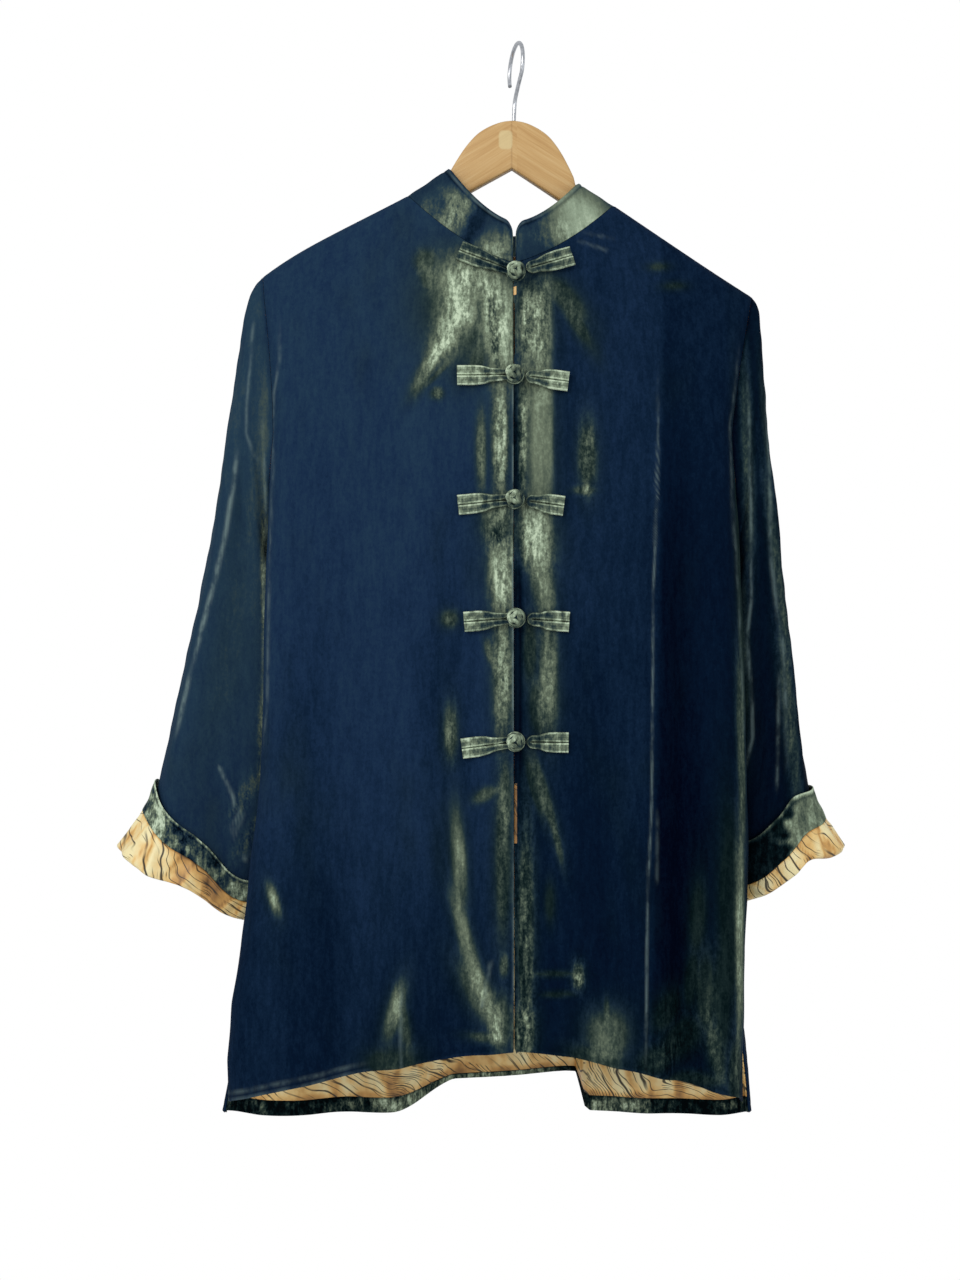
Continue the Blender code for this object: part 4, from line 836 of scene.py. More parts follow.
def cloth_wall(name, outer, inner, paints, marks, tube=False, bulge=None, inside=1, facing=None, peeks=()):
    """A closed wall of cloth between two grids of points. Its free edges bulge out by `bulge` metres.

    The outer grid and the edges take paints[0]. The inner grid takes paints[inside], or paints[0]
    where the mask `facing` is set. Rows in `peeks` show the inner paint at the first column's edge.
    """
    rows, columns = outer.shape[:2]
    count = rows * columns
    spans = columns if tube else columns - 1
    row, column = np.meshgrid(np.arange(rows - 1), np.arange(spans), indexing="ij")
    a = (row * columns + column).ravel()
    b = (row * columns + (column + 1) % columns).ravel()
    quads = np.stack([a, b, b + columns, a + columns], axis=1)
    faces = quads.tolist() + (quads[:, ::-1] + count).tolist()
    inner_slot = np.full((rows - 1, spans), inside)
    if facing is not None:
        inner_slot[facing[: rows - 1, :spans]] = 0
    slots = [0] * len(quads) + inner_slot.ravel().tolist()
    if bulge is None:
        bulge = np.full((rows, columns), SEAM_BULGE)
    middles, source = [], []
    for loop in edge_loops(rows, columns, tube):
        start = 2 * count + len(middles)
        for i, (at, beside) in enumerate(loop):
            outward = unit(outer[at] - outer[beside])
            middles.append(0.5 * (outer[at] + inner[at]) + outward * bulge[at])
            source.append(at[0] * columns + at[1])
            j = (i + 1) % len(loop)
            one, two = source[-1], loop[j][0][0] * columns + loop[j][0][1]
            faces.append([one, two, start + j, start + i])
            faces.append([start + i, start + j, two + count, one + count])
            slots += [inside, inside] if at[1] == 0 and at[0] in peeks else [0, 0]
    points = np.concatenate([outer.reshape(-1, 3), inner.reshape(-1, 3), np.array(middles)])
    obj = mesh_object(name, points, faces, paints, slots)
    for label, values in marks.items():
        flat = values.ravel()
        give(obj, label, np.concatenate([flat, flat, flat[source]]))
    return obj


# ---------------------------------------------------------------- materials
class Nodes:
    """Short ways to add nodes to a new material."""

    def __init__(self, name):
        self.material = bpy.data.materials.new(name)
        self.material.use_nodes = True
        self.tree = self.material.node_tree
        self.shader = self.tree.nodes["Principled BSDF"]

    def put(self, value, socket):
        """A link where the value is a socket, and a constant where it isn't."""
        if isinstance(value, bpy.types.NodeSocket):
            self.tree.links.new(value, socket)
        else:
            socket.default_value = value

    def add(self, kind, values=(), **settings):
        node = self.tree.nodes.new("ShaderNode" + kind)
        for key, value in settings.items():
            setattr(node, key, value)
        for name, value in dict(values).items():
            self.put(value, node.inputs[name])
        return node

    def math(self, operation, a, b=0.0, c=0.0):
        return self.add("Math", {0: a, 1: b, 2: c}, operation=operation).outputs[0]

    def times(self, a, b):
        return self.math("MULTIPLY", a, b)

    def times_plus(self, a, b, c):
        return self.math("MULTIPLY_ADD", a, b, c)

    def away(self, value, centre):
        """How far the value is from the centre."""
        return self.math("ABSOLUTE", self.math("SUBTRACT", value, centre))

    def varied(self, base, value, by):
        """The base with a value about 0.5 added, so many times."""
        return self.times_plus(self.math("SUBTRACT", value, 0.5), by, base)

    def position(self):
        """The three coordinates, in metres."""
        return self.add("SeparateXYZ", {"Vector": self.add("TexCoord").outputs["Object"]}).outputs

    def noise(self, scale, detail=2.0, roughness=0.5, source=None, distortion=0.0):
        """Noise with so many features a metre along each axis."""
        source = source or self.add("TexCoord").outputs["Object"]
        place = self.add("Mapping", {"Vector": source, "Scale": scale}).outputs["Vector"]
        values = {"Vector": place, "Scale": 1.0, "Detail": detail, "Roughness": roughness}
        values["Distortion"] = distortion
        return self.add("TexNoise", values, noise_dimensions="3D").outputs["Fac"]

    def read(self, name):
        return self.add("Attribute", attribute_name=name, attribute_type="GEOMETRY").outputs["Fac"]

    def ramp(self, value, stops):
        ramp = self.add("ValToRGB", {"Fac": value})
        elements = ramp.color_ramp.elements
        while len(elements) < len(stops):
            elements.new(0.5)
        for element, (position, colour) in zip(elements, stops):
            element.position = position
            element.color = (*colour, 1.0)
        return ramp.outputs["Color"]

    def spread(self, value, low, high):
        """The value stretched so that low becomes 0 and high becomes 1."""
        names = {"Value": value, "From Min": low, "From Max": high, "To Min": 0.0, "To Max": 1.0}
        return self.add("MapRange", names, interpolation_type="SMOOTHSTEP").outputs["Result"]

    def unless(self, value, low, high):
        """1 where the value is low, and 0 where it is high."""
        return self.math("SUBTRACT", 1.0, self.spread(value, low, high))

    def mix(self, share, a, b):
        """Two colours mixed. The second may be three numbers."""
        b = b if isinstance(b, bpy.types.NodeSocket) else (*b, 1.0)
        return self.add("Mix", {"Factor": share, "A": a, "B": b}, data_type="RGBA").outputs["Result"]

    def bump(self, height, distance, strength):
        values = {"Height": height, "Distance": distance, "Strength": strength}
        return self.add("Bump", values).outputs["Normal"]

    def finish(self, colour, **settings):
        self.put(colour, self.shader.inputs["Base Color"])
        for key, value in settings.items():
            self.put(value, self.shader.inputs[key.replace("_", " ")])
        return self.material


VELVET_COLOURS = (
    (0.00, (0.0002, 0.0016, 0.009)),
    (0.12, (0.0018, 0.0085, 0.025)),
    (0.18, (0.0046, 0.0158, 0.040)),
    (0.25, (0.0098, 0.0270, 0.066)),
    (0.36, (0.0190, 0.0480, 0.083)),
    (0.50, (0.0600, 0.0880, 0.080)),
    (0.68, (0.1600, 0.1980, 0.138)),
    (0.85, (0.3300, 0.4100, 0.290)),
    (1.00, (0.6000, 0.7000, 0.520)),
)
GREEN_COLOURS = (
    (0.00, (0.0008, 0.0030, 0.004)),
    (0.12, (0.0022, 0.0085, 0.010)),
    (0.25, (0.0090, 0.0205, 0.021)),
    (0.36, (0.0210, 0.0370, 0.032)),
    (0.50, (0.0580, 0.0830, 0.064)),
    (0.68, (0.1550, 0.1920, 0.130)),
    (0.85, (0.3200, 0.4000, 0.275)),
    (1.00, (0.5900, 0.7000, 0.500)),
)
CREASE_HIGHLIGHT_COLOUR = (0.170, 0.240, 0.235)


def velvet():
    """Crushed velvet: the colour follows the lie of its pile, from black navy to pale sage, and the painted
    light and shade in the nap and the pale lines.
    """
    n = Nodes("crushed velvet")
    nap, crush, line, green = (n.read(mark) for mark in ("nap", "crush", "line", "green"))
    mottle = n.noise((300, 300, 190), roughness=0.65)
    fleck = n.noise((700, 700, 480), detail=1.0)
    # long, thin streaks down the cloth, over broader ones, and a slow drift of tone
    streaks = n.varied(1.0, n.noise((330, 330, 30), roughness=0.6), 0.12)
    streaks = n.varied(streaks, n.noise((95, 95, 16), detail=3.0, roughness=0.6), 0.20)
    value = n.varied(n.times(nap, streaks), n.noise((26, 26, 6)), 0.09)
    # mottle, brush marks and flecks, all stronger where the pile is crushed
    value = n.varied(value, n.spread(mottle, 0.36, 0.64), n.times(crush, 0.55))
    brushed = n.noise((190, 190, 36), roughness=0.6)
    value = n.varied(value, n.spread(brushed, 0.36, 0.64), n.times(crush, 0.60))
    value = n.varied(value, fleck, n.times_plus(crush, 0.9, 0.02))
    cast = n.math("ADD", green, n.spread(n.noise((19, 19, 7), roughness=0.6), 0.50, 1.1))
    pile = n.mix(cast, n.ramp(value, VELVET_COLOURS), n.ramp(value, GREEN_COLOURS))
    # the pale crease and edge lines, partly painted highlight, come and go along their length
    broken = n.spread(n.noise((75, 75, 42), detail=3.0, roughness=0.6), 0.38, 0.62)
    crease = n.times(line, n.times_plus(broken, 0.95, 0.20))
    height = n.math("ADD", n.times(mottle, 0.7), n.times(fleck, 0.3))
    return n.finish(
        n.mix(crease, pile, CREASE_HIGHLIGHT_COLOUR),
        Normal=n.bump(height, 0.0006, 0.6),
        Roughness=0.70,
        Specular_IOR_Level=0.012,
        Sheen_Weight=0.012,
        Sheen_Roughness=0.35,
        Sheen_Tint=(0.72, 0.84, 0.90, 1.0),
    )


SATIN_COLOURS = (
    (0.10, (0.070, 0.034, 0.012)),
    (0.30, (0.350, 0.175, 0.052)),
    (0.46, (0.690, 0.380, 0.112)),
    (0.58, (0.900, 0.610, 0.235)),
    (0.76, (0.980, 0.840, 0.460)),
)
PRINT_COLOUR = (0.032, 0.024, 0.014)


def lining():
    """Gold satin with a print of thin, dark, wandering contour lines."""
    n = Nodes("patterned gold satin")
    x, _, z = n.position()
    wander, drift = n.noise((20, 20, 26)), n.noise((7, 7, 7), detail=1.0)

    def slanting(down, across, wandering, drifting):
        """A count of the lines passed, so many a metre down and across."""
        count = n.times_plus(z, down, n.times(x, across))
        return n.times_plus(drift, drifting, n.times_plus(wander, wandering, count))

    def contours(count, thin, wide, where):
        """A line at each whole count, where the last value is 1."""
        return n.times(n.unless(n.away(n.math("FRACT", count), 0.5), thin, wide), where)

    slant = slanting(112.0, 92.0, 4.6, 12.0)
    long_lines = contours(slant, 0.020, 0.085, n.spread(n.noise((34, 34, 34)), 0.36, 0.50))
    clusters = n.spread(n.noise((40, 40, 40), detail=1.0, distortion=0.6), 0.56, 0.63)
    fine_lines = contours(n.times(slant, 2.6), 0.060, 0.160, clusters)
    strokes = n.spread(n.noise((30, 30, 30), detail=1.0), 0.36, 0.52)
    bold_lines = contours(slanting(52.0, 46.0, 1.4, 9.0), 0.030, 0.095, strokes)
    line = n.math("MAXIMUM", n.math("MAXIMUM", long_lines, fine_lines), bold_lines)
    # the lining reads its nap as painted light and shade over pleats and wrinkles, and as how pale the gold
    # lies
    tint = n.varied(n.noise((48, 48, 36), detail=3.0), n.read("nap"), 0.55)
    return n.finish(
        n.mix(n.times(line, 0.97), n.ramp(tint, SATIN_COLOURS), PRINT_COLOUR),
        Normal=n.bump(n.noise((1400, 1400, 1400), detail=0.0), 0.0001, 0.4),
        Roughness=0.40,
        Specular_IOR_Level=0.35,
    )


WOOD_COLOURS = ((0.30, (0.500, 0.270, 0.090)), (0.50, (0.630, 0.385, 0.150)), (0.70, (0.730, 0.500, 0.230)))
GRAIN_MIDDLE_X, GRAIN_SLOPE = -0.0055, 0.62
JOINT_X, JOINT_COLOUR = -0.0050, (0.330, 0.170, 0.060)
SPOT_X, SPOT_Z, SPOT_HALF_X, SPOT_HALF_Z = -0.0105, -0.0880, 0.0062, 0.0085
SPOT_COLOUR = (0.780, 0.640, 0.330)


def wood():
    """Pale wood. The grain follows each arm and meets at the joint, beside a paler spot."""
    n = Nodes("pale hanger wood")
    x, y, z = n.position()
    out = n.away(x, GRAIN_MIDDLE_X)
    across = n.math("ADD", z, n.times(out, GRAIN_SLOPE))
    along = n.times_plus(n.math("SIGN", x), 0.7, out)
    arm = n.add("CombineXYZ", {"X": along, "Y": y, "Z": across}).outputs[0]
    grain = n.noise((9, 60, 210), detail=4.0, roughness=0.6, source=arm)
    pores = n.noise((45, 300, 900), source=arm)
    shade = n.math("ADD", n.times(grain, 0.75), n.times(pores, 0.25))
    joint = n.unless(n.away(x, JOINT_X), 0.0002, 0.0012)
    spot_x = n.math("DIVIDE", n.away(x, SPOT_X), SPOT_HALF_X)
    spot_z = n.math("DIVIDE", n.away(z, SPOT_Z), SPOT_HALF_Z)
    spot = n.unless(n.math("ADD", n.math("POWER", spot_x, 4.0), n.math("POWER", spot_z, 4.0)), 0.5, 1.6)
    jointed = n.mix(n.times(joint, 0.35), n.ramp(shade, WOOD_COLOURS), JOINT_COLOUR)
    return n.finish(
        n.mix(n.times(spot, 0.62), jointed, SPOT_COLOUR),
        Normal=n.bump(shade, 0.0002, 0.5),
        Roughness=0.42,
        Specular_IOR_Level=0.45,
    )


def wire():
    """Plated wire with faint scuffs."""
    n = Nodes("plated wire")
    scuff = n.noise((300, 300, 300), detail=3.0)
    colour = n.ramp(scuff, ((0.35, (0.500, 0.510, 0.530)), (0.65, (0.720, 0.730, 0.750))))
    return n.finish(colour, Metallic=1.0, Roughness=n.times_plus(scuff, 0.2, 0.16))


def floor_paint():
    return Nodes("pale floor").finish((0.80, 0.80, 0.80, 1.0), Roughness=0.9)


# ---------------------------------------------------------------- cloth pieces
# a turned edge, raised, with a painted highlight along it, and the soft groove behind it, darkened with
# painted shade
TURN_HEIGHT, TURN_WIDTH, TURN_HIGHLIGHT = 0.0003, 0.0020, 0.10
GROOVE_DEPTH, GROOVE_AT, GROOVE_WIDTH, GROOVE_SHADE = 0.0005, 0.0046, 0.0012, 0.06
EDGE_START = 0.0015
# the right front's hem shows a painted highlight, a pale double edge, beyond these
HEM_HIGHLIGHT_X, HEM_HIGHLIGHT_Z = -0.125, -0.900
# where lining peeks out at the left front's edge: height, half its length, and its nap
Glimpse = namedtuple("Glimpse", "z half nap")
GLIMPSES = (Glimpse(-0.2365, 0.0036, 0.40), Glimpse(-0.6985, 0.0260, 0.10))
# the left front's edge reaches under the right front's, but leaves a dark gap between two heights
CF_BULGE, CF_LAP, CF_OPEN = 0.0005, 0.0019, (-0.2430, -0.2960)
TURNED_EDGE = 0.016
LINING_TOP_SHARE = 0.70


def edge_band(distance):
    """A turned edge: raised by a fold's thickness, with a soft groove behind it. Metres, and a nap with a
    painted highlight on the edge and painted shade in the groove.
    """
    height = TURN_HEIGHT * bump(distance, 0.0, TURN_WIDTH)
    height = height - GROOVE_DEPTH * bump(distance, GROOVE_AT, GROOVE_WIDTH)
    nap = TURN_HIGHLIGHT * bump(distance, 0.0008, 0.0010) - GROOVE_SHADE * bump(distance, GROOVE_AT, 0.0016)
    return height * smooth(distance / EDGE_START), nap


def free_edges(face, grid):
    """Distance from a panel's free edges: the hem, the vent, and the centre front of a front."""
    up = running_length(grid[::-1])[::-1]
    along = running_length(grid, axis=1)
    vent = np.where(grid[..., 2] < VENT_TOP_Z, 0.0, (grid[..., 2] - VENT_TOP_Z) * 0.6)
    distance = np.minimum(up, along[:, -1:] - along + vent)
    return np.minimum(distance, along if face == "front" else along + vent)


def rim_bulge(face, side, grid):
    """How far the wall's own edge is rounded: full at free edges, almost none at seams."""
    z = grid[..., 2]
    bulge = np.full(z.shape, SEAM_BULGE)
    bulge[-1] = EDGE_BULGE
    for column in (-1,) if face == "front" else (0, -1):
        bulge[:, column] = np.where(z[:, column] < VENT_TOP_Z, EDGE_BULGE, SEAM_BULGE)
    if face == "front":
        bulge[:, 0] = CF_BULGE
        if side > 0:
            top, foot = CF_OPEN
            shut = 1.0 - smooth((top - z[:, 0]) / 0.004) * smooth((z[:, 0] - foot) / 0.006)
            bulge[:, 0] += CF_LAP * between(0.45, 1.0, shut)
    bulge[0] = SEAM_BULGE
    return bulge


def build_fronts(paints, panels):
    for side, name in ((-1, "front_right"), (1, "front_left")):
        grid, normal = panels[side]
        x, z = grid[..., 0], grid[..., 2]
        distance = free_edges("front", grid)
        height, edge_highlight_and_shade = edge_band(distance)
        height *= smooth((1 - FRONT_FINE) / 0.02 + (z < VENT_TOP_Z))
        marks = marks_of(x, z, tone_and_shade_of(x, z, "front"), FRONT_PATCHES, FRONT_LINES)
        marks["nap"] = np.clip(marks["nap"] + edge_highlight_and_shade, 0.0, NAP_MOST)
        peeks = set()
        if side < 0:
            # painted highlight: a pale double line along the right front's hem
            hem = smooth((HEM_HIGHLIGHT_X - x) / 0.03) * smooth((HEM_HIGHLIGHT_Z - z) / 0.02)
            edge = 0.6 * bump(distance, 0.0010, 0.0012) + 0.4 * bump(distance, 0.0072, 0.0012)
            marks["line"] += hem * edge
        else:
            for glimpse in GLIMPSES:
                seen = np.flatnonzero(np.abs(z[:, 0] - glimpse.z) < glimpse.half)
                marks["nap"][seen, 0] = glimpse.nap
                peeks.update(seen.tolist())
        outer, inner = moved(grid, normal, height), moved(grid, normal, -CLOTH)
        rim, turned = rim_bulge("front", side, grid), distance < TURNED_EDGE
        obj = cloth_wall(name, outer, inner, paints, marks, bulge=rim, facing=turned, peeks=peeks)


def build_back(paints, grid, normal):
    x, z = grid[..., 0], grid[..., 2]
    distance = free_edges("back", grid)
    height, edge_highlight_and_shade = edge_band(distance)
    outer = moved(grid, normal, height * (z < VENT_TOP_Z))
    marks = marks_of(x, z, tone_and_shade_of(x, z, "back"), BACK_PATCHES, BACK_LINES)
    marks["nap"] = np.clip(marks["nap"] + edge_highlight_and_shade, 0.0, NAP_MOST)
    inner, rim = moved(grid, normal, -CLOTH), rim_bulge("back", 0, grid)
    back = cloth_wall("back", outer, inner, paints, marks, bulge=rim)


# wrinkles of the back's lining in millimetres: all start at one height, with the foot to one side; their
# glow, below 0, is painted shade along each wrinkle
Wrinkle = namedtuple("Wrinkle", "x lean z_foot ridge glow")
WRINKLES = (
    Wrinkle(-236, 20, -985, 2.0, -0.20),
    Wrinkle(-206, 34, -988, 2.4, -0.24),
    Wrinkle(-178, 20, -975, 1.8, -0.16),
    Wrinkle(-160, 44, -985, 2.6, -0.26),
    Wrinkle(-128, 30, -962, 2.0, -0.20),
    Wrinkle(-112, 46, -968, 2.6, -0.26),
    Wrinkle(-86, 40, -958, 2.2, -0.22),
    Wrinkle(-58, 52, -960, 2.6, -0.24),
    Wrinkle(-30, 50, -958, 1.8, -0.18),
    Wrinkle(-8, 56, -962, 2.4, -0.22),
    Wrinkle(22, 30, -958, 2.0, -0.20),
    Wrinkle(64, 30, -984, 2.4, -0.24),
    Wrinkle(84, 34, -988, 2.6, -0.24),
    Wrinkle(104, 26, -984, 1.8, -0.18),
    Wrinkle(120, 38, -988, 2.6, -0.26),
    Wrinkle(148, 26, -982, 2.0, -0.20),
    Wrinkle(168, 24, -986, 2.2, -0.22),
)
WRINKLE_TOP_Z, WRINKLE_WIDTH = -895, 3.0
LINING_LINES = creases(*(
    (((row.x, WRINKLE_TOP_Z), (row.x + row.lean, row.z_foot)), row.ridge, row.glow, WRINKLE_WIDTH)
    for row in WRINKLES
))
# how light the velvet facing of the back's hem is along x
FACING_TONES = (
    (-0.270, 0.20), (-0.205, 0.08), (-0.165, 0.20), (-0.125, 0.66), (-0.080, 0.62), (0.040, 0.58),
    (0.062, 0.05), (0.072, 0.05), (0.078, 0.62), (0.124, 0.60), (0.134, 0.10), (0.196, 0.08), (0.220, 0.34),
)


def build_back_lining(paint, grid, normal):
    """The wrinkled lining that shows below the fronts' hems, down to the seam of the hem's facing."""
    rows = slice(len(ARMHOLE_FINE) - 1 + int(LINING_TOP_SHARE * SKIRT_ROWS), len(grid) - FACING_ROWS)
    grid, normal = grid[rows], normal[rows]
    down = np.linspace(0.0, 1.0, len(grid))[:, None]
    across = np.linspace(0.0, 1.0, grid.shape[1])[None, :]
    ends = smooth(down / 0.06) * smooth((1.0 - down) / 0.08)
    ends = ends * smooth(across / 0.04) * smooth((1.0 - across) / 0.04)
    x, z = grid[..., 0], grid[..., 2]
    pleat = ridge_height(LINING_LINES, x, z)
    wrinkle = pleat + 0.0010 * np.abs(crumple(grid, 0.020, 1.2, 23))
    near = moved(grid, normal, -CLOTH - SEAM - wrinkle * ends)
    far = moved(grid, normal, -CLOTH - SEAM - LINING - wrinkle * ends)
    # its shade: painted shade along each wrinkle; painted light and shade on the wrinkles' sides, lighter on
    # the side that faces the key light; and darker along its foot, by the facing's seam
    shade = 0.76 + marks_of(x, z, x * 0.0, (), LINING_LINES)["line"]
    slope = np.gradient(pleat, axis=1) / np.maximum(np.gradient(x, axis=1), 1e-6)
    shade = shade + 0.55 * slope - 0.40 * bump(down, 1.0, 0.030)
    obj = cloth_wall("back_lining", far, near, [paint], {"nap": np.clip(shade, 0, 1)}, inside=0)


def build_hem_facing(paint, grid, normal):
    """The velvet strip along the inside of the back's hem, a seam's gap below the lining."""
    foot, out = grid[-FACING_ROWS - 1 :], normal[-FACING_ROWS - 1 :]
    step = SEAM / np.linalg.norm(foot[1] - foot[0], axis=-1, keepdims=True)
    foot = np.concatenate([(foot[0] + (foot[1] - foot[0]) * step)[None], foot[1:]])
    near, far = moved(foot, out, -CLOTH - SEAM), moved(foot, out, -CLOTH - SEAM - LINING)
    places, tones = zip(*FACING_TONES)
    ragged = crumple(foot, 0.010, 0.8, 27)
    tone = np.interp(foot[..., 0] + 0.008 * ragged, places, tones)
    tone = tone + 0.20 * ragged - 0.30 * bump(np.arange(len(foot)), 0.0, 0.8)[:, None]
    marks = {
        "nap": np.clip(tone, 0.02, 0.85),
        "crush": np.full(tone.shape, 0.50),
        "green": np.ones(tone.shape),
    }
    obj = cloth_wall("back_hem_facing", far, near, [paint], marks, inside=0)


def armhole_loop(side, front, back):
    """Points round the armhole: shoulder tip, down the front's edge, armpit, up the back's edge."""
    last = len(ARMHOLE_FINE) - 1
    front = front[: last + 1, -1]
    back = back[: last + 1, 0 if side < 0 else -1]
    ends = 0.5 * (front[[0, last]] + back[[0, last]])
    return np.concatenate([ends[:1], front[1:last], ends[1:], back[1:last][::-1]])


def ring_turns(even):
    """Angles of a section's points: spaced as the armhole's rows are (0), to evenly (1)."""
    front = np.arccos(np.clip(1.0 - 2.0 * ARMHOLE_FINE, -1.0, 1.0))
    spaced = np.concatenate([front, 2 * np.pi - front[-2:0:-1]])
    return (1.0 - even) * spaced + even * np.linspace(0.0, 2 * np.pi, len(spaced), endpoint=False)


def sleeve_ring(side, station, even):
    """An oval section: angle 0 at the outer edge, a quarter turn at the front, half at the inner edge."""
    turn = ring_turns(even)
    outer = np.array([station.out_x, station.middle_y, station.out_z])
    inner = np.array([station.in_x, station.middle_y, station.in_z])
    middle, arm = (outer + inner) / 2, (outer - inner) / 2
    across = np.sign(np.cos(turn)) * np.abs(np.cos(turn)) ** SECTION_POWER
    deep = np.sign(np.sin(turn)) * np.abs(np.sin(turn)) ** SECTION_POWER
    ring = middle + across[:, None] * arm + deep[:, None] * np.array([0.0, -station.depth, 0.0])
    lean = ARMHOLE_LEAN * (1.0 - even) * 0.5 * (1.0 - across)
    ring[:, 0] += side * lean * (station.middle_y - ring[:, 1])
    return ring


def eased(rings, at, places):
    """Rings between the given ones, on a curve that never swings beyond its neighbours."""
    at, places = np.array(at, float), np.array(places, float)
    gaps = np.diff(at)
    rises = np.diff(rings, axis=0) / gaps[:, None, None]
    before, after = rises[:-1], rises[1:]
    both = before * after
    slopes = np.where(both > 0, 2 * both / np.where(both > 0, before + after, 1.0), 0.0)
    slopes = np.concatenate([rises[:1], slopes, rises[-1:]])
    index = np.clip(np.searchsorted(at, places, side="right") - 1, 0, len(gaps) - 1)
    gap = gaps[index][:, None, None]
    t = ((places - at[index])[:, None, None]) / gap
    return (
        rings[index] * (1 + 2 * t) * (1 - t) ** 2
        + slopes[index] * gap * t * (1 - t) ** 2
        + rings[index + 1] * t**2 * (3 - 2 * t)
        + slopes[index + 1] * gap * t**2 * (t - 1)
    )


def squareness(grid):
    """0 where a tube's rows run almost along its rings, to 1 where they cross well."""
    along, around = np.gradient(grid, axis=0), np.roll(grid, -1, axis=1) - np.roll(grid, 1, axis=1)
    area = np.linalg.norm(np.cross(along, around), axis=-1)
    sine = area / (np.linalg.norm(along, axis=-1) * np.linalg.norm(around, axis=-1) + 1e-12)
    return smooth((sine - 0.08) / 0.4)


def sleeve_grid(side, armhole):
    """Outer points of a sleeve, armhole first, with its folds, creases and crumples."""
    armhole = armhole.copy()
    armhole[:, 0] += side * SEAM
    count, place = len(armhole), SLEEVE_FINE
    stations = np.arange(len(SLEEVES[side])) + 1
    even = np.clip((stations - SLEEVE_EVEN_FROM) / (SLEEVE_EVEN_AT - SLEEVE_EVEN_FROM), 0, 1)
    knots = [armhole] + [sleeve_ring(side, station, share) for station, share in zip(SLEEVES[side], even)]
    grid = eased(np.stack([catmull_rom(knots, at) for at in SLEEVE_PLACES]), SLEEVE_PLACES, place)
    outward = 0.5 + 0.5 * np.cos(2 * np.pi * np.arange(count) / count)
    droop = sum(drop * bump(outward, at, DROOP_WIDTH) for drop, at in zip(DROOP[side], DROOP_AT))
    grid[..., 2] -= droop * smooth((place[:, None] - DROOP_START) / (place[-1] - DROOP_START))
    centre = grid.mean(axis=1, keepdims=True)
    normal = grid_normals(grid, grid - centre, tube=True)
    turn = np.arange(count)[None, :] / count
    share = (place / place[-1])[:, None]
    height = np.zeros(grid.shape[:2])
    for crease in CREASES[side]:
        angle = between(crease.angle_top, crease.angle_cuff, share)
        height += crease.height * smooth((share - crease.start) / 0.25) * bump(turn, angle, crease.width)
    height *= 1.0 - 0.7 * smooth((share - 0.86) / 0.10)
    front = smooth((0.03 - (grid[..., 1] - centre[..., 1])) / 0.04)
    fine = ridge_height(SLEEVE_LINES, grid[..., 0], grid[..., 2]) * front
    fine += relief(grid, SLEEVE_CRUMPLES, side)
    fine *= smooth(share / 0.05) * (1.0 - 0.8 * smooth((share - 0.84) / 0.08))
    height += fine * squareness(grid)
    folded_grid = grid + normal * height[..., None]
    return folded_grid, grid_normals(folded_grid, folded_grid - centre, tube=True)


def inner_sleeve(outer, normal):
    """The wall's inside. Its first ring is shared with the panels' own inner edge."""
    inner = moved(outer, normal, -CLOTH)
    toward = outer[0].mean(axis=0) - outer[0]
    toward[:, 0] = 0.0
    inner[0] = outer[0] + unit(toward) * CLOTH
    return inner


def build_sleeves(paints, armholes):
    for side, name in ((-1, "sleeve_right"), (1, "sleeve_left")):
        outer, normal = sleeve_grid(side, armholes[side])
        x, z = outer[..., 0], outer[..., 2]
        tone = tone_and_shade_of(x, z, name)
        ahead = marks_of(x, z, tone, SLEEVE_PATCHES, SLEEVE_LINES)
        behind = marks_of(x, z + 0.06, tone, SLEEVE_PATCHES)
        front = smooth((0.010 - (outer[..., 1] - outer[..., 1].mean(axis=1, keepdims=True))) / 0.02)
        marks = {key: ahead[key] * front + behind[key] * (1 - front) for key in ahead}
        marks["green"] = 0.12 + marks["green"] * (0.10 if side < 0 else 0.70)
        seam_shade = 0.08 * bump(np.arange(len(x)), 0.0, 3.0)[:, None]
        marks["nap"] = np.clip(marks["nap"] - seam_shade, 0.0, NAP_MOST)
        obj = cloth_wall(name, outer, inner_sleeve(outer, normal), paints, marks, tube=True)
        build_cuff(side, name.replace("sleeve", "cuff"), outer, normal, paints)


def sleeve_place(grid, normal, height, stand):
    """Points a height above the sleeve's mouth, measured along it, and standing off its outer face."""
    lengths = running_length(grid[::-1])
    places = []
    for column, (rise, off) in enumerate(zip(height, stand)):
        above, line, out = lengths[:, column], grid[::-1, column], normal[::-1, column]
        point = np.array([np.interp(rise, above, line[:, i]) for i in range(3)])
        facing = np.array([np.interp(rise, above, out[:, i]) for i in range(3)])
        down = (line[0] - line[1]) / above[1]
        places.append(point + unit(facing) * off + down * max(-rise, 0.0))
    return np.array(places)


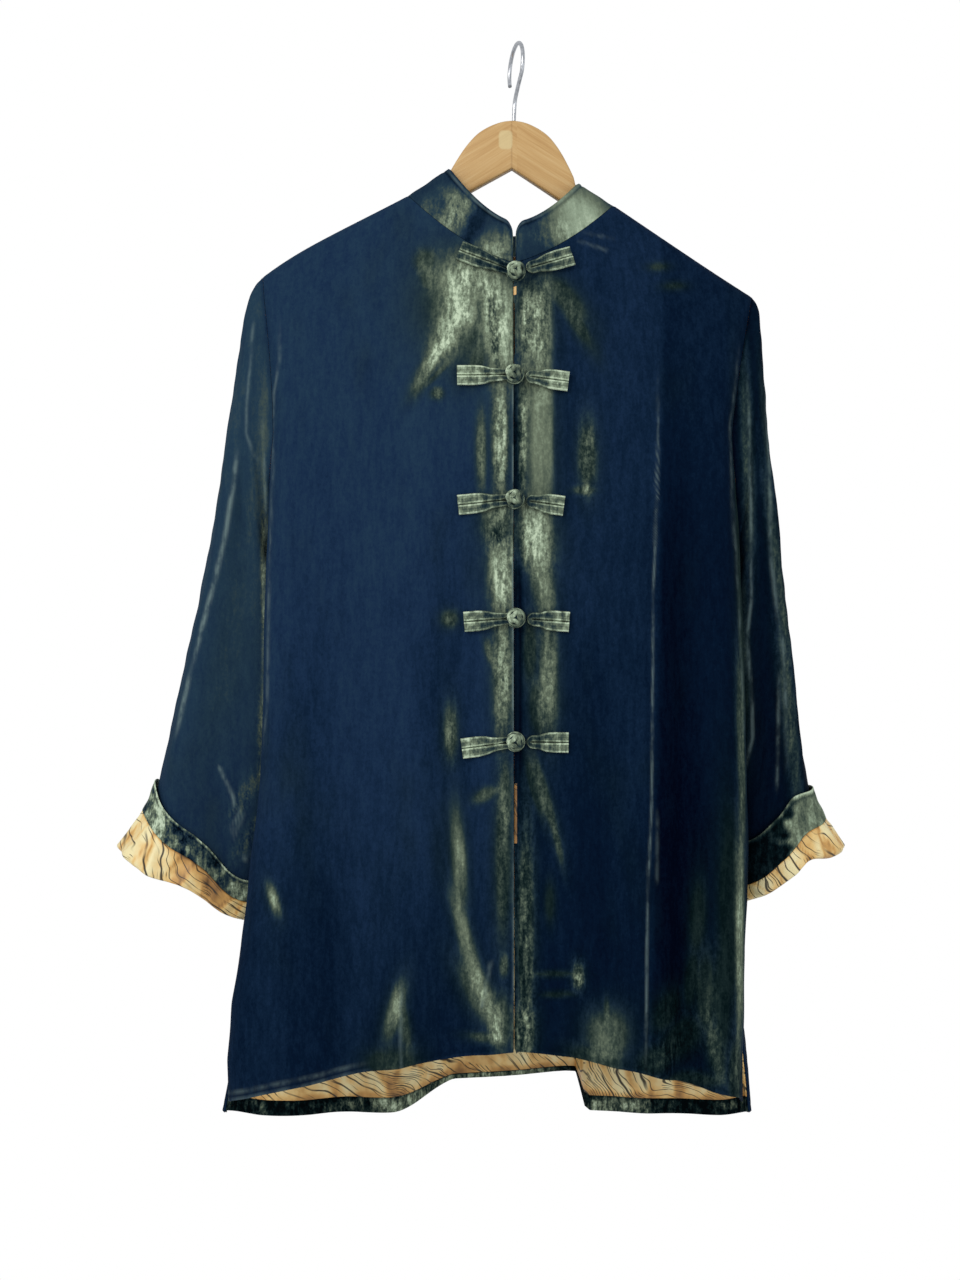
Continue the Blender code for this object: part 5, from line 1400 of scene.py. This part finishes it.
# uneven pleats of the cuffs' lining, round the sleeve from its outer edge (0) over the front (0.25)
Pleat = namedtuple("Pleat", "turn width height lean")
PLEATS = (
    Pleat(0.02, 0.010, 0.0016, 0.02),
    Pleat(0.05, 0.008, -0.0012, 0.02),
    Pleat(0.08, 0.012, 0.0020, 0.03),
    Pleat(0.12, 0.009, -0.0016, 0.02),
    Pleat(0.15, 0.011, 0.0018, -0.01),
    Pleat(0.19, 0.014, -0.0014, 0.03),
    Pleat(0.23, 0.010, 0.0020, 0.02),
    Pleat(0.27, 0.012, -0.0016, 0.01),
    Pleat(0.31, 0.009, 0.0016, 0.03),
    Pleat(0.35, 0.014, 0.0014, 0.02),
    Pleat(0.40, 0.012, -0.0016, 0.01),
    Pleat(0.46, 0.014, 0.0016, 0.02),
    Pleat(0.55, 0.014, 0.0016, 0.02),
    Pleat(0.62, 0.012, -0.0014, 0.02),
    Pleat(0.70, 0.016, 0.0018, 0.01),
    Pleat(0.78, 0.012, -0.0016, 0.02),
    Pleat(0.86, 0.014, 0.0018, 0.01),
    Pleat(0.94, 0.012, -0.0014, 0.02),
)
FACING_RINGS, ROLL_RINGS, FOLD_RINGS, INNER_SHARES = 19, 13, 15, (0.35, 0.7, 1.0)


def pleat_height(turn, share):
    """Height of the cuff lining's pleats, and their painted light and shade: lighter just beside a raised
    pleat's crest, darker in a hollow, with a dark line on the other side of each.
    """
    height, shade = np.zeros(np.shape(turn + share)), np.zeros(np.shape(turn + share))
    for pleat in PLEATS:
        away = (turn - pleat.turn - pleat.lean * share + 0.5) % 1.0 - 0.5
        height += pleat.height * bump(away, 0.0, pleat.width)
        shade += 60.0 * pleat.height * bump(away, 0.004, pleat.width) - 0.22 * bump(away, -0.010, 0.0035)
    return height, shade


def cuff_tone(side, x, z, rough):
    """How light the cuff's velvet band lies: sage all over on the right, half black on the left."""
    if side < 0:
        tone = 0.46 + 0.26 * rough + 0.36 * bump(x, -0.330, 0.009) + 0.26 * smooth((x + 0.276) / 0.016)
        return tone - 0.16 * bump(x, -0.306, 0.012) * smooth((z + 0.760) / 0.02)
    sage = (0.60 + 0.06 * rough) * smooth((x - 0.243 + 0.010 * rough) / 0.010)
    return 0.08 + sage + 0.40 * np.maximum(rough, 0.0) * bump(x, 0.236, 0.009)


def build_cuff(side, name, sleeve, normal, paints):
    """The turned-back cuff: a velvet band at the free edge, and lining round the fold."""
    cuff = CUFFS[side]
    turn = np.arange(sleeve.shape[1]) / sleeve.shape[1]
    outward = 0.5 + 0.5 * np.cos(2 * np.pi * turn)
    total = between(cuff.turn_in, cuff.turn_out, outward**cuff.turn_power)
    seam = between(cuff.lining_in, cuff.lining_out, outward**cuff.lining_power)
    flare = between(CUFF_FLARE_INNER, cuff.flare, outward)

    def ring(height, stand):
        return sleeve_place(sleeve, normal, height, stand)

    def stand_off(height):
        return CUFF_STANDOFF + flare * (1.0 - height / total) ** 1.6

    build_cuff_facing(side, name, ring, stand_off, total, seam, paints[0])
    build_cuff_lining(side, name, ring, stand_off, turn, seam, flare, paints[1])


def build_cuff_facing(side, name, ring, stand_off, total, seam, paint):
    """The velvet band, from the cuff's free edge down to its seam with the lining."""
    shares = np.linspace(0.0, 1.0, FACING_RINGS)
    heights = [between(total, seam + SEAM, share) for share in shares]
    outer = np.stack([ring(h, stand_off(h) + LINING) for h in heights])
    inner = np.stack([ring(h, stand_off(h)) for h in heights])
    rough = crumple(outer, 0.011, 0.8, 41 + side)
    away = grid_normals(outer, outer - outer.mean(axis=1, keepdims=True), tube=True)
    soft = 0.0007 * crumple(outer, 0.012, 1.0, 45 + side) * smooth(shares / 0.2)[:, None]
    outer = moved(outer, away, soft * smooth((1.0 - shares) / 0.1)[:, None] + 0.0003)
    nap = cuff_tone(side, outer[..., 0], outer[..., 2], rough)
    # a painted highlight along the free edge, and a darker line just below it
    nap = nap + 0.34 * bump(shares, 0.0, 0.05)[:, None] - 0.20 * bump(shares, 0.12, 0.04)[:, None]
    bulge = np.full(nap.shape, SEAM_BULGE)
    bulge[0] = EDGE_BULGE
    marks = {
        "nap": np.clip(nap, 0.04, 1.0),
        "crush": np.full(nap.shape, 0.45 if side < 0 else 0.22),
        "green": np.full(nap.shape, 0.55 if side < 0 else 0.90),
    }
    obj = cloth_wall(name + "_facing", outer, inner, [paint], marks, tube=True, bulge=bulge, inside=0)


def build_cuff_lining(side, name, ring, stand_off, turn, seam, flare, paint):
    """The lining: down over the flared cuff, round its fold, and a little way up inside the sleeve."""
    outside = CUFF_STANDOFF + flare + LINING
    inside = CLOTH + CUFF_INNER_GAP + LINING
    centre, reach = 0.5 * (outside - inside), 0.5 * (outside + inside)
    uneven = 1.0 + 0.35 * np.sin(2 * np.pi * (3 * turn + 0.1)) + 0.25 * np.sin(2 * np.pi * (7 * turn + 0.4))
    down = np.linspace(1, 0.10, ROLL_RINGS)
    faces = []
    for thick in (0.0, LINING):
        rings = []
        for share in down:
            swell = pleat_height(turn, share)[0] * smooth((1.0 - share) / 0.3)
            rings.append(ring(seam * share, stand_off(seam * share) + LINING - thick + swell))
        for angle in np.radians(np.linspace(0.0, 180.0, FOLD_RINGS)):
            swell = pleat_height(turn, 0.0)[0] * smooth(np.cos(angle))
            drop = (CUFF_FOLD_DROP * uneven - thick) * np.sin(angle)
            rings.append(ring(-drop, centre + ((reach - thick) * np.cos(angle) + swell)))
        for share in INNER_SHARES:
            rise = np.full(len(turn), CUFF_INNER_RISE * share)
            rings.append(ring(rise, np.full(len(turn), thick - inside)))
        faces.append(np.stack(rings))
    outer, inner = faces
    rows = np.concatenate([down, np.zeros(FOLD_RINGS + len(INNER_SHARES))])[:, None]
    # painted light and shade across the pleats, a painted highlight over the right cuff's outer end, the left
    # cuff's lining paler all round, and darker by the facing's seam
    shade = 0.52 + 1.5 * pleat_height(turn[None, :], rows)[1]
    shade = shade + (0.40 * smooth((-0.306 - outer[..., 0]) / 0.02) if side < 0 else 0.20)
    shade = shade - 0.30 * bump(rows, 1.0, 0.05)
    marks = {"nap": np.clip(shade, 0, NAP_MOST)}
    obj = cloth_wall(name + "_lining", outer, inner, [paint], marks, tube=True, inside=0)


# ---------------------------------------------------------------- collar
def neck_seam(right, left, back):
    """The neckline from the right front's end, round the back, to the left front's end, with its normals."""
    front_count = int(np.flatnonzero(FRONT_FINE == NECK_SHARE)[0]) + 1
    back_count = int(np.flatnonzero(BACK_FINE == NECK_SHARE)[0]) + 1
    middle = len(BACK_FINE) - 1
    ends = [values[0, :front_count] for values in right]
    starts = [values[0, :front_count][::-1] for values in left]
    round_back = [values[0, middle - back_count + 2 : middle + back_count - 1] for values in back]
    return tuple(np.concatenate(parts) for parts in zip(ends, round_back, starts))


def collar_rises(points):
    """The band's direction and height over each point of the neck seam."""
    rises = []
    for x, y, _ in points:
        side = "side_right" if x < CF_X else "side_left"
        half = NECK_SHARE * SHOULDER_HALF[-1 if x < CF_X else 1]
        out = min(abs(x - CF_X) / half, 1.0)
        middle = "front" if y < 0 else "back"
        out = out if y < 0 else out**COLLAR_BACK_ROUND
        rises.append((1 - out) * np.array(COLLAR_RISE[middle]) + out * np.array(COLLAR_RISE[side]))
    return np.array(rises)


COLLAR_ROWS, COLLAR_BULGE = 22, 0.0009
COLLAR_PATCHES = patches(
    # the wearer's right side, in front
    (-62, -168, 17, 24, -0.5, 0.36, 0.7),
    (-83, -155, 9, 10, -0.5, 0.16, 0.9),
    (-57, -146, 10, 12, 0.6, 0.18, 0.6),
    (-22, -198, 19, 17, -0.45, 0.42, 0.6),
    (-16, -212, 12, 8, -0.45, 0.14, 0.9),
    (-42, -180, 8, 28, -0.45, -0.14, 0.3),
    # the wearer's left side, in front
    (60, -166, 29, 40, 0.45, 0.58, 0.04),
    (38, -183, 14, 18, 0.55, 0.24, 0.7),
    (20, -186, 8, 8, 0.55, 0.12, 0.9),
)


def build_collar(paint, right, left, back):
    """A doubled band that rises from the neck seam, rounded at its two front ends, with a stitched groove."""
    points, rim = neck_seam(right, left, back)
    along = running_length(points)
    rise = collar_rises(points)
    tall = np.linalg.norm(rise, axis=1)
    from_end = np.minimum(along, along[-1] - along)
    short = 1.0 - np.sqrt(1.0 - (1.0 - np.clip(from_end / COLLAR_END_RADIUS, 0.0, 1.0)) ** 2)
    height = 1.0 - short * COLLAR_END_RADIUS / tall
    shares = np.linspace(0.0, 1.0, COLLAR_ROWS)
    foot = points + unit(rise) * 1.5 * SEAM
    outer = foot + shares[:, None, None] * rise * height[None, :, None]
    away = np.stack([outer[..., 0] - CF_X, outer[..., 1], np.full(outer.shape[:2], 0.03)], axis=-1)
    normal = grid_normals(outer, away)
    normal[0] = rim
    inner = moved(outer, normal, -BAND)
    from_top = (1.0 - shares[:, None]) * (tall * height)[None, :]
    from_edge = np.minimum(from_top, from_end[None, :] + 0.2 * from_top)
    groove = -0.0006 * bump(from_edge, 0.0034, 0.0011) + 0.0003 * bump(from_edge, 0.0012, 0.0012)
    shape = groove * smooth(shares / 0.1)[:, None] * smooth(from_edge / 0.0008)
    uneven = 0.0006 * crumple(outer, 0.016, 1.0, 51)
    shape += uneven * smooth(shares / 0.15)[:, None] * smooth(from_edge / 0.006)
    outer = moved(outer, normal, shape)
    x, z = outer[..., 0], outer[..., 2]
    marks = marks_of(x, z, np.where(outer[..., 1] < 0, 0.28, 0.24), COLLAR_PATCHES)
    # painted shade in the stitched groove, and a pale line near the band's edge: painted highlight
    marks["nap"] = np.clip(marks["nap"] - 0.18 * bump(from_edge, 0.0036, 0.0012), 0.0, NAP_MOST)
    marks["line"] = 0.38 * bump(from_edge, 0.0016, 0.0009)
    marks["green"] = np.full(x.shape, 0.35)
    bulge = np.full(x.shape, COLLAR_BULGE)
    bulge[0] = SEAM_BULGE
    obj = cloth_wall("collar", outer, inner, [paint], marks, bulge=bulge, inside=0)


# ---------------------------------------------------------------- frog fasteners
def on_front(x, z):
    """How far forward the front's outer face is over x, z near the centre line, clear of its crumples."""
    side = -1 if x < CF_X else 1
    s = np.abs(x - CF_X) / half_width(side, z) * FLAT_SHARE
    base = body_point("front", side, np.array([s]), np.array([z]))[0]
    lift = fold_height(FRONT_FOLDS[side], np.array([x]), np.array([z]), np.array([s]))[0]
    return base[1] - lift - CRUMPLE_ROOM


# how light a strand's upper corners (a painted highlight), lower corners (painted shade) and fold line
# (painted shade) lie, and how much lighter its outer ends
STRAND_EDGE_HIGHLIGHT, UNDER_SHADE, FOLD_LINE_SHADE, OUTER_END_NAP = 0.24, -0.10, -0.08, 0.22
STRAND_CORNER, STRAND_REACH, OUTER_END_AT = 0.45, 0.004, 0.020
# the fold line on top of a strand: places across it, in widths, and their height
FOLD_LINE = ((0.30, -0.0001), (0.15, 0.0001), (0.0, -0.0002), (-0.15, 0.0001), (-0.30, -0.0001))
STRAND_CORNERS = ((1, 1, 0), (-1, 1, 90), (-1, -1, 180), (1, -1, 270))


def strand_section(width):
    """A flat strand's section, across and up, with rounded edges and a fold line on top, and its nap: painted
    highlight on the upper edges, painted shade below and along the fold line.
    """
    corner = STRAND_CORNER * CORD_THICK
    section, nap = [], []
    for sign_across, sign_up, start in STRAND_CORNERS:
        middle = np.array([sign_across * (0.5 * width - corner), sign_up * (0.5 * CORD_THICK - corner)])
        for angle in np.radians([start, start + 30, start + 60, start + 90]):
            section.append(middle + corner * np.array([math.cos(angle), math.sin(angle)]))
            nap.append(STRAND_EDGE_HIGHLIGHT if sign_up > 0 else UNDER_SHADE)
        if start == 0:
            section += [np.array([share * width, 0.5 * CORD_THICK + lift]) for share, lift in FOLD_LINE]
            nap += [0.0 if share else FOLD_LINE_SHADE for share, _ in FOLD_LINE]
    return np.array(section), np.array(nap)


def sweep(path, widths, light):
    """A flat strand that lies on the fronts along a path of x, z points: points, faces and nap."""
    path = np.asarray(path)
    rings, naps = [], []
    for (x, z), (dx, dz), width in zip(path, unit(np.gradient(path, axis=0)), widths):
        across, up = np.array([dz, 0.0, -dx]), np.array([0.0, -1.0, 0.0])
        foremost = min(on_front(x + off, z) for off in (0.0, STRAND_REACH, -STRAND_REACH))
        centre = np.array([x, foremost - SEAM - 0.5 * CORD_THICK, z])
        section, nap = strand_section(width)
        rings.append([centre + a * across + u * up for a, u in section])
        naps.append(nap + light + OUTER_END_NAP * smooth((abs(x - CF_X) - OUTER_END_AT) / OUTER_END_AT))
    return (*tube_mesh(rings), np.array(naps).ravel())


def tube_mesh(rings, closed=False):
    """Points and faces of a tube through rings of points, with flat ends unless it closes on itself."""
    sides, count = len(rings[0]), len(rings)
    points = np.concatenate([np.array(ring) for ring in rings])
    faces = []
    for ring in range(count if closed else count - 1):
        after = (ring + 1) % count
        for i in range(sides):
            j = (i + 1) % sides
            faces.append((ring * sides + i, ring * sides + j, after * sides + j, after * sides + i))
    if not closed:
        faces.append(tuple(reversed(range(sides))))
        faces.append(tuple((count - 1) * sides + i for i in range(sides)))
    return points, faces


def smooth_path(points, widths, step=0.0007):
    """A path through the points as a smooth curve, with points at most a step apart."""
    points = [np.array(point, float) for point in points]
    path, sizes = [], []
    for index in range(len(points) - 1):
        count = max(2, math.ceil(np.linalg.norm(points[index + 1] - points[index]) / step))
        for share in np.arange(count) / count:
            path.append(catmull_rom(points, index + share))
            sizes.append(between(widths[index], widths[index + 1], share))
    return path + [points[-1]], sizes + [widths[-1]]


def frog_arm(end, knot, clear):
    """An arm from its outer end to just short of the knot: upper strand, lower strand and their widths."""
    length = np.linalg.norm(knot - end)
    ahead = (knot - end) / length
    aside = np.array([-ahead[1], ahead[0]])
    shares = np.linspace(0.0, 1.0, ARM_POINTS)
    narrow = smooth((shares - 0.45) / 0.5)
    middles = end + ahead * shares[:, None] * (length - clear)
    offs = aside * between(ARM_SPREAD_END, ARM_SPREAD_KNOT, narrow)[:, None]
    widths = between(CORD_WIDTH, 2 * ARM_SPREAD_KNOT - ARM_GAP, narrow)
    return list(middles + offs), list(middles - offs), list(widths)


def frog_object(name, meshes, paint, seed):
    """One object from several closed meshes, each with its own nap."""
    points, faces, naps, first = [], [], [], 0
    for part_points, part_faces, part_nap in meshes:
        points.append(part_points)
        naps.append(part_nap)
        faces += [tuple(first + i for i in face) for face in part_faces]
        first += len(part_points)
    points = np.concatenate(points)
    obj = mesh_object(name, points, faces, [paint], sharp=60.0)
    mottle = crumple(points[:, None, :], 0.006, 0.8, seed)[:, 0]
    give(obj, "nap", np.clip(np.concatenate(naps) + 0.13 * mottle, 0.05, 0.95))
    give(obj, "crush", np.full(len(points), 0.30))
    give(obj, "green", np.full(len(points), 0.75))


def build_frogs(paint):
    for number, frog in enumerate(FROGS, start=1):
        knot = np.array([frog.knot_x, frog.knot_z])
        right, left = np.array([frog.right_x, frog.right_z]), np.array([frog.left_x, frog.left_z])
        build_loop(f"frog_{number}_loop", right, knot, frog.loop_light, paint, 60 + number)
        build_stem(f"frog_{number}_stem", left, knot, frog.stem_light, paint, 70 + number)
        build_knot(f"frog_{number}_knot", knot, paint, number)


def build_loop(name, end, knot, light, paint, seed):
    """The right arm: one strand in, round the knot, and the other strand out."""
    upper, lower, widths = frog_arm(end, knot, LOOP_RADIUS + LOOP_CLEAR)
    lean = math.atan2(knot[1] - end[1], knot[0] - end[0])
    angles = lean + np.linspace(LOOP_END, -LOOP_END, LOOP_POINTS)
    ring = list(knot + LOOP_RADIUS * np.stack([np.cos(angles), np.sin(angles)], axis=-1))
    path = smooth_path(upper + ring + lower[::-1], widths + [LOOP_WIDTH] * len(ring) + widths[::-1])
    frog_object(name, [sweep(*path, light)], paint, seed)


def build_stem(name, end, knot, light, paint, seed):
    """The left arm: two strands that close in a tight bend beside the loop."""
    clear = LOOP_RADIUS + STEM_CLEAR
    upper, lower, widths = frog_arm(end, knot, clear)
    bend = end + unit(knot - end) * (np.linalg.norm(knot - end) - clear + ARM_SPREAD_KNOT)
    path = smooth_path(upper + [bend] + lower[::-1], widths + [widths[-1] * STEM_BEND] + widths[::-1])
    frog_object(name, [sweep(*path, light)], paint, seed)


def build_knot(name, knot, paint, number):
    """The ball of the fastener: a solid ball with a cord wound over it in three crossing turns."""
    x, z = knot
    centre = np.array([x, on_front(x, z) - SEAM - CORD_THICK - KNOT_LIFT, z])

    def on_ball(radius, polar, turn):
        """A point at an angle from straight ahead, turned round that line."""
        out = math.sin(polar)
        return centre + radius * np.array([out * math.cos(turn), -math.cos(polar), out * math.sin(turn)])

    turns = np.linspace(0.0, 2 * np.pi, BALL_SIDES, endpoint=False)
    polars = np.linspace(0.02, math.pi - 0.02, BALL_RINGS)
    ball = tube_mesh([[on_ball(BALL_RADIUS, polar, turn) for turn in turns] for polar in polars])
    path = []
    for t in np.linspace(0.0, 2 * np.pi, WINDING_STEPS, endpoint=False):
        radius = KNOT_RADIUS - KNOT_CORD + KNOT_UNEVEN * math.sin(3 * t + 1.2)
        polar = WINDING_MIDDLE + WINDING_SWING * math.cos(3 * t + 0.4 * number)
        path.append(on_ball(radius, polar, 2 * t + 0.3 * number))
    path = np.array(path)
    heading = unit(np.roll(path, -1, axis=0) - np.roll(path, 1, axis=0))
    sides = np.linspace(0.0, 2 * np.pi, WINDING_SIDES, endpoint=False)
    wound = []
    for point, ahead, up in zip(path, heading, unit(path - centre)):
        across = np.cross(ahead, up)
        up = CORD_FLATNESS * up
        wound.append([point + KNOT_CORD * (math.cos(a) * across + math.sin(a) * up) for a in sides])
    cord = tube_mesh(wound, closed=True)
    # the cord lighter towards the wearer's right and upwards: painted highlight
    cord_light_and_shade = CORD_NAP - CORD_HIGHLIGHT_RIGHT * (cord[0][:, 0] - x) + CORD_HIGHLIGHT_UP * (cord[0][:, 2] - z)
    meshes = [(*ball, np.full(len(ball[0]), BALL_NAP)), (*cord, np.clip(cord_light_and_shade, 0.24, 0.92))]
    frog_object(name, meshes, paint, 80 + number)


# ---------------------------------------------------------------- hanger
def tilted(point):
    """A point of the hanger's own frame, turned with the hanger about the origin."""
    x, y, z = point
    return (x * math.cos(TILT) + z * math.sin(TILT), y, z * math.cos(TILT) - x * math.sin(TILT))


def wood_outline():
    """Half of the hanger's outline, from the dome's top, along the arm and back to the notch."""
    slope = 0.5 * (SHOULDER_SLOPE[-1] + SHOULDER_SLOPE[1])
    line_z = APEX_Z - WOOD_DROP
    end_x = ARM_HALF - ARM_TIP_INSET
    knots = [np.array(point) for point in (DOME_START, (0.0, WOOD_TOP_Z), *WOOD_DOME)]
    places = [1 + index + share for index in range(len(WOOD_DOME)) for share in (0, 0.34, 0.67)]
    dome = [tuple(catmull_rom(knots, place)) for place in places]
    upper = [WOOD_DOME[-1]] + [(x, line_z - slope * x) for x in (*ARM_XS, end_x)]
    tip_x, tip_z = end_x - ARM_TIP_BACK, line_z - slope * end_x - ARM_DEPTH / 2
    turn = np.radians(np.linspace(55, -75, 12))
    tip = [(tip_x + ARM_TIP_RADIUS * math.cos(a), tip_z + ARM_TIP_RADIUS * math.sin(a)) for a in turn]
    lower = [(x, line_z - slope * x - ARM_DEPTH) for x in ARM_XS_BELOW]
    lower += [(x, NOTCH_Z - slope * x) for x in NOTCH_XS]
    return dome + upper + tip + lower


def inset_outline(points, distance):
    """The outline moved in by a distance, each point along its corner's bisector."""
    before, after = points - np.roll(points, 1, axis=0), np.roll(points, -1, axis=0) - points
    tangent = unit(unit(before) + unit(after))
    return points + distance * np.stack([tangent[:, 1], -tangent[:, 0]], axis=-1)


def build_wood(paint):
    """Both arms as one flat board with rounded edges."""
    half = wood_outline()
    outline = np.array(half + [(-x, z) for x, z in reversed(half[1:-1])])
    rings = []
    for angle in np.radians(np.linspace(0, 90, 6)):
        inset = WOOD_ROUND * (1.0 - math.sin(angle))
        y = -WOOD_HALF_DEPTH + WOOD_ROUND * (1.0 - math.cos(angle))
        rings.append([(x, y, z) for x, z in inset_outline(outline, inset)])
    rings += [[(x, -y, z) for x, y, z in ring] for ring in reversed(rings)]
    points, faces = tube_mesh([[tilted(point) for point in ring] for ring in rings])
    obj = mesh_object("hanger_wood", points, faces, [paint], sharp=35.0)


def build_hook(paint):
    """The wire: a short stem out of the wood, then the open ring that hangs on a rail."""
    foot = WOOD_TOP_Z + SEAM + HOOK_FOOT_GAP
    line = [(0.0, foot), (0.0, foot + HOOK_FOOT), *HOOK_LINE]
    for angle in np.radians(np.linspace(HOOK_FROM, HOOK_TO, HOOK_POINTS)):
        up = HOOK_WIRE / 2 - HOOK_RADIUS + HOOK_RADIUS * math.sin(angle)
        line.append((HOOK_RADIUS * math.cos(angle), up))
    path, _ = smooth_path(line, [0.0] * len(line), step=0.0015)
    path = np.array(path)
    rings = []
    for (u, z), (du, dz) in zip(path, unit(np.gradient(path, axis=0))):
        ring = []
        for angle in np.linspace(0.0, 2 * np.pi, HOOK_SIDES, endpoint=False):
            off, side = 0.5 * HOOK_WIRE * math.cos(angle), 0.5 * HOOK_WIRE * math.sin(angle)
            a, b = u + off * dz, z - off * du
            x = a * math.cos(HOOK_TURN) + side * math.sin(HOOK_TURN)
            y = -a * math.sin(HOOK_TURN) + side * math.cos(HOOK_TURN)
            ring.append(tilted((x, y, b)))
        rings.append(ring)
    points, faces = tube_mesh(rings)
    obj = mesh_object("hanger_hook", points, faces, [paint], sharp=50.0)


# ---------------------------------------------------------------- light, floor and camera
FLOOR_Z, FLOOR_RADIUS, FLOOR_SIDES = -1.75, 1.5, 96
LIGHT_AIM = (0.0, 0.0, -0.5)
Lamp = namedtuple("Lamp", "name place size power colour")
LAMPS = (
    Lamp("key", (-1.3, -2.0, 0.6), 1.4, 24.0, (1.0, 0.99, 0.97)),
    Lamp("fill", (1.6, -1.6, -0.5), 1.6, 5.0, (0.90, 0.95, 1.0)),
)
SKY_COLOUR, SKY_STRENGTH = (0.93, 0.96, 1.0, 1.0), 0.62
CAMERA_PLACE, CAMERA_LENS, CAMERA_SENSOR = (-0.034, -1.6, -0.5465), 48.91, 36.0


def floor(paint):
    turns = np.linspace(0.0, 2 * np.pi, FLOOR_SIDES, endpoint=False)
    mesh = bpy.data.meshes.new("floor")
    points = [(FLOOR_RADIUS * math.cos(a), FLOOR_RADIUS * math.sin(a), FLOOR_Z) for a in turns]
    mesh.from_pydata(points, [], [tuple(range(FLOOR_SIDES))])
    mesh.materials.append(paint)
    obj = bpy.data.objects.new("floor", mesh)
    bpy.context.scene.collection.objects.link(obj)


def sky():
    """Even, slightly cool light from all round, in front of a white background."""
    world = bpy.data.worlds.new("pale studio")
    bpy.context.scene.world = world
    world.use_nodes = True
    tree = world.node_tree
    around, white = tree.nodes["Background"], tree.nodes.new("ShaderNodeBackground")
    for ground, colour, strength in ((around, SKY_COLOUR, SKY_STRENGTH), (white, (1.0, 1.0, 1.0, 1.0), 1.0)):
        ground.inputs["Color"].default_value = colour
        ground.inputs["Strength"].default_value = strength
    seen, mix = tree.nodes.new("ShaderNodeLightPath"), tree.nodes.new("ShaderNodeMixShader")
    tree.links.new(seen.outputs["Is Camera Ray"], mix.inputs["Fac"])
    tree.links.new(around.outputs[0], mix.inputs[1])
    tree.links.new(white.outputs[0], mix.inputs[2])
    tree.links.new(mix.outputs[0], tree.nodes["World Output"].inputs["Surface"])


def lamps():
    for lamp in LAMPS:
        light = bpy.data.lights.new(lamp.name, "AREA")
        light.shape, light.size, light.energy, light.color = "DISK", lamp.size, lamp.power, lamp.colour
        obj = bpy.data.objects.new(lamp.name, light)
        obj.location = lamp.place
        obj.rotation_euler = (Vector(LIGHT_AIM) - Vector(lamp.place)).to_track_quat("-Z", "Y").to_euler()
        bpy.context.scene.collection.objects.link(obj)


def camera():
    """Level with the middle of the jacket, looking straight at its front."""
    scene = bpy.context.scene
    data = bpy.data.cameras.new("camera")
    data.sensor_width, data.lens, data.clip_start = CAMERA_SENSOR, CAMERA_LENS, 0.05
    obj = bpy.data.objects.new("camera", data)
    obj.location = CAMERA_PLACE
    obj.rotation_euler = (math.radians(90), 0.0, 0.0)
    scene.collection.objects.link(obj)
    scene.camera = obj
    scene.view_settings.view_transform = "Standard"
    scene.view_settings.look = "None"


def main():
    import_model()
    paints = [velvet(), lining()]
    right, left, back = front_panel(-1), front_panel(1), back_panel()
    build_fronts(paints, {-1: right, 1: left})
    build_back(paints, *back)
    build_back_lining(paints[1], *back)
    build_hem_facing(paints[0], *back)
    build_sleeves(paints, {-1: armhole_loop(-1, right[0], back[0]), 1: armhole_loop(1, left[0], back[0])})
    build_collar(paints[0], right, left, back)
    build_frogs(paints[0])
    build_wood(wood())
    build_hook(wire())
    floor(floor_paint())
    sky()
    lamps()
    camera()


main()
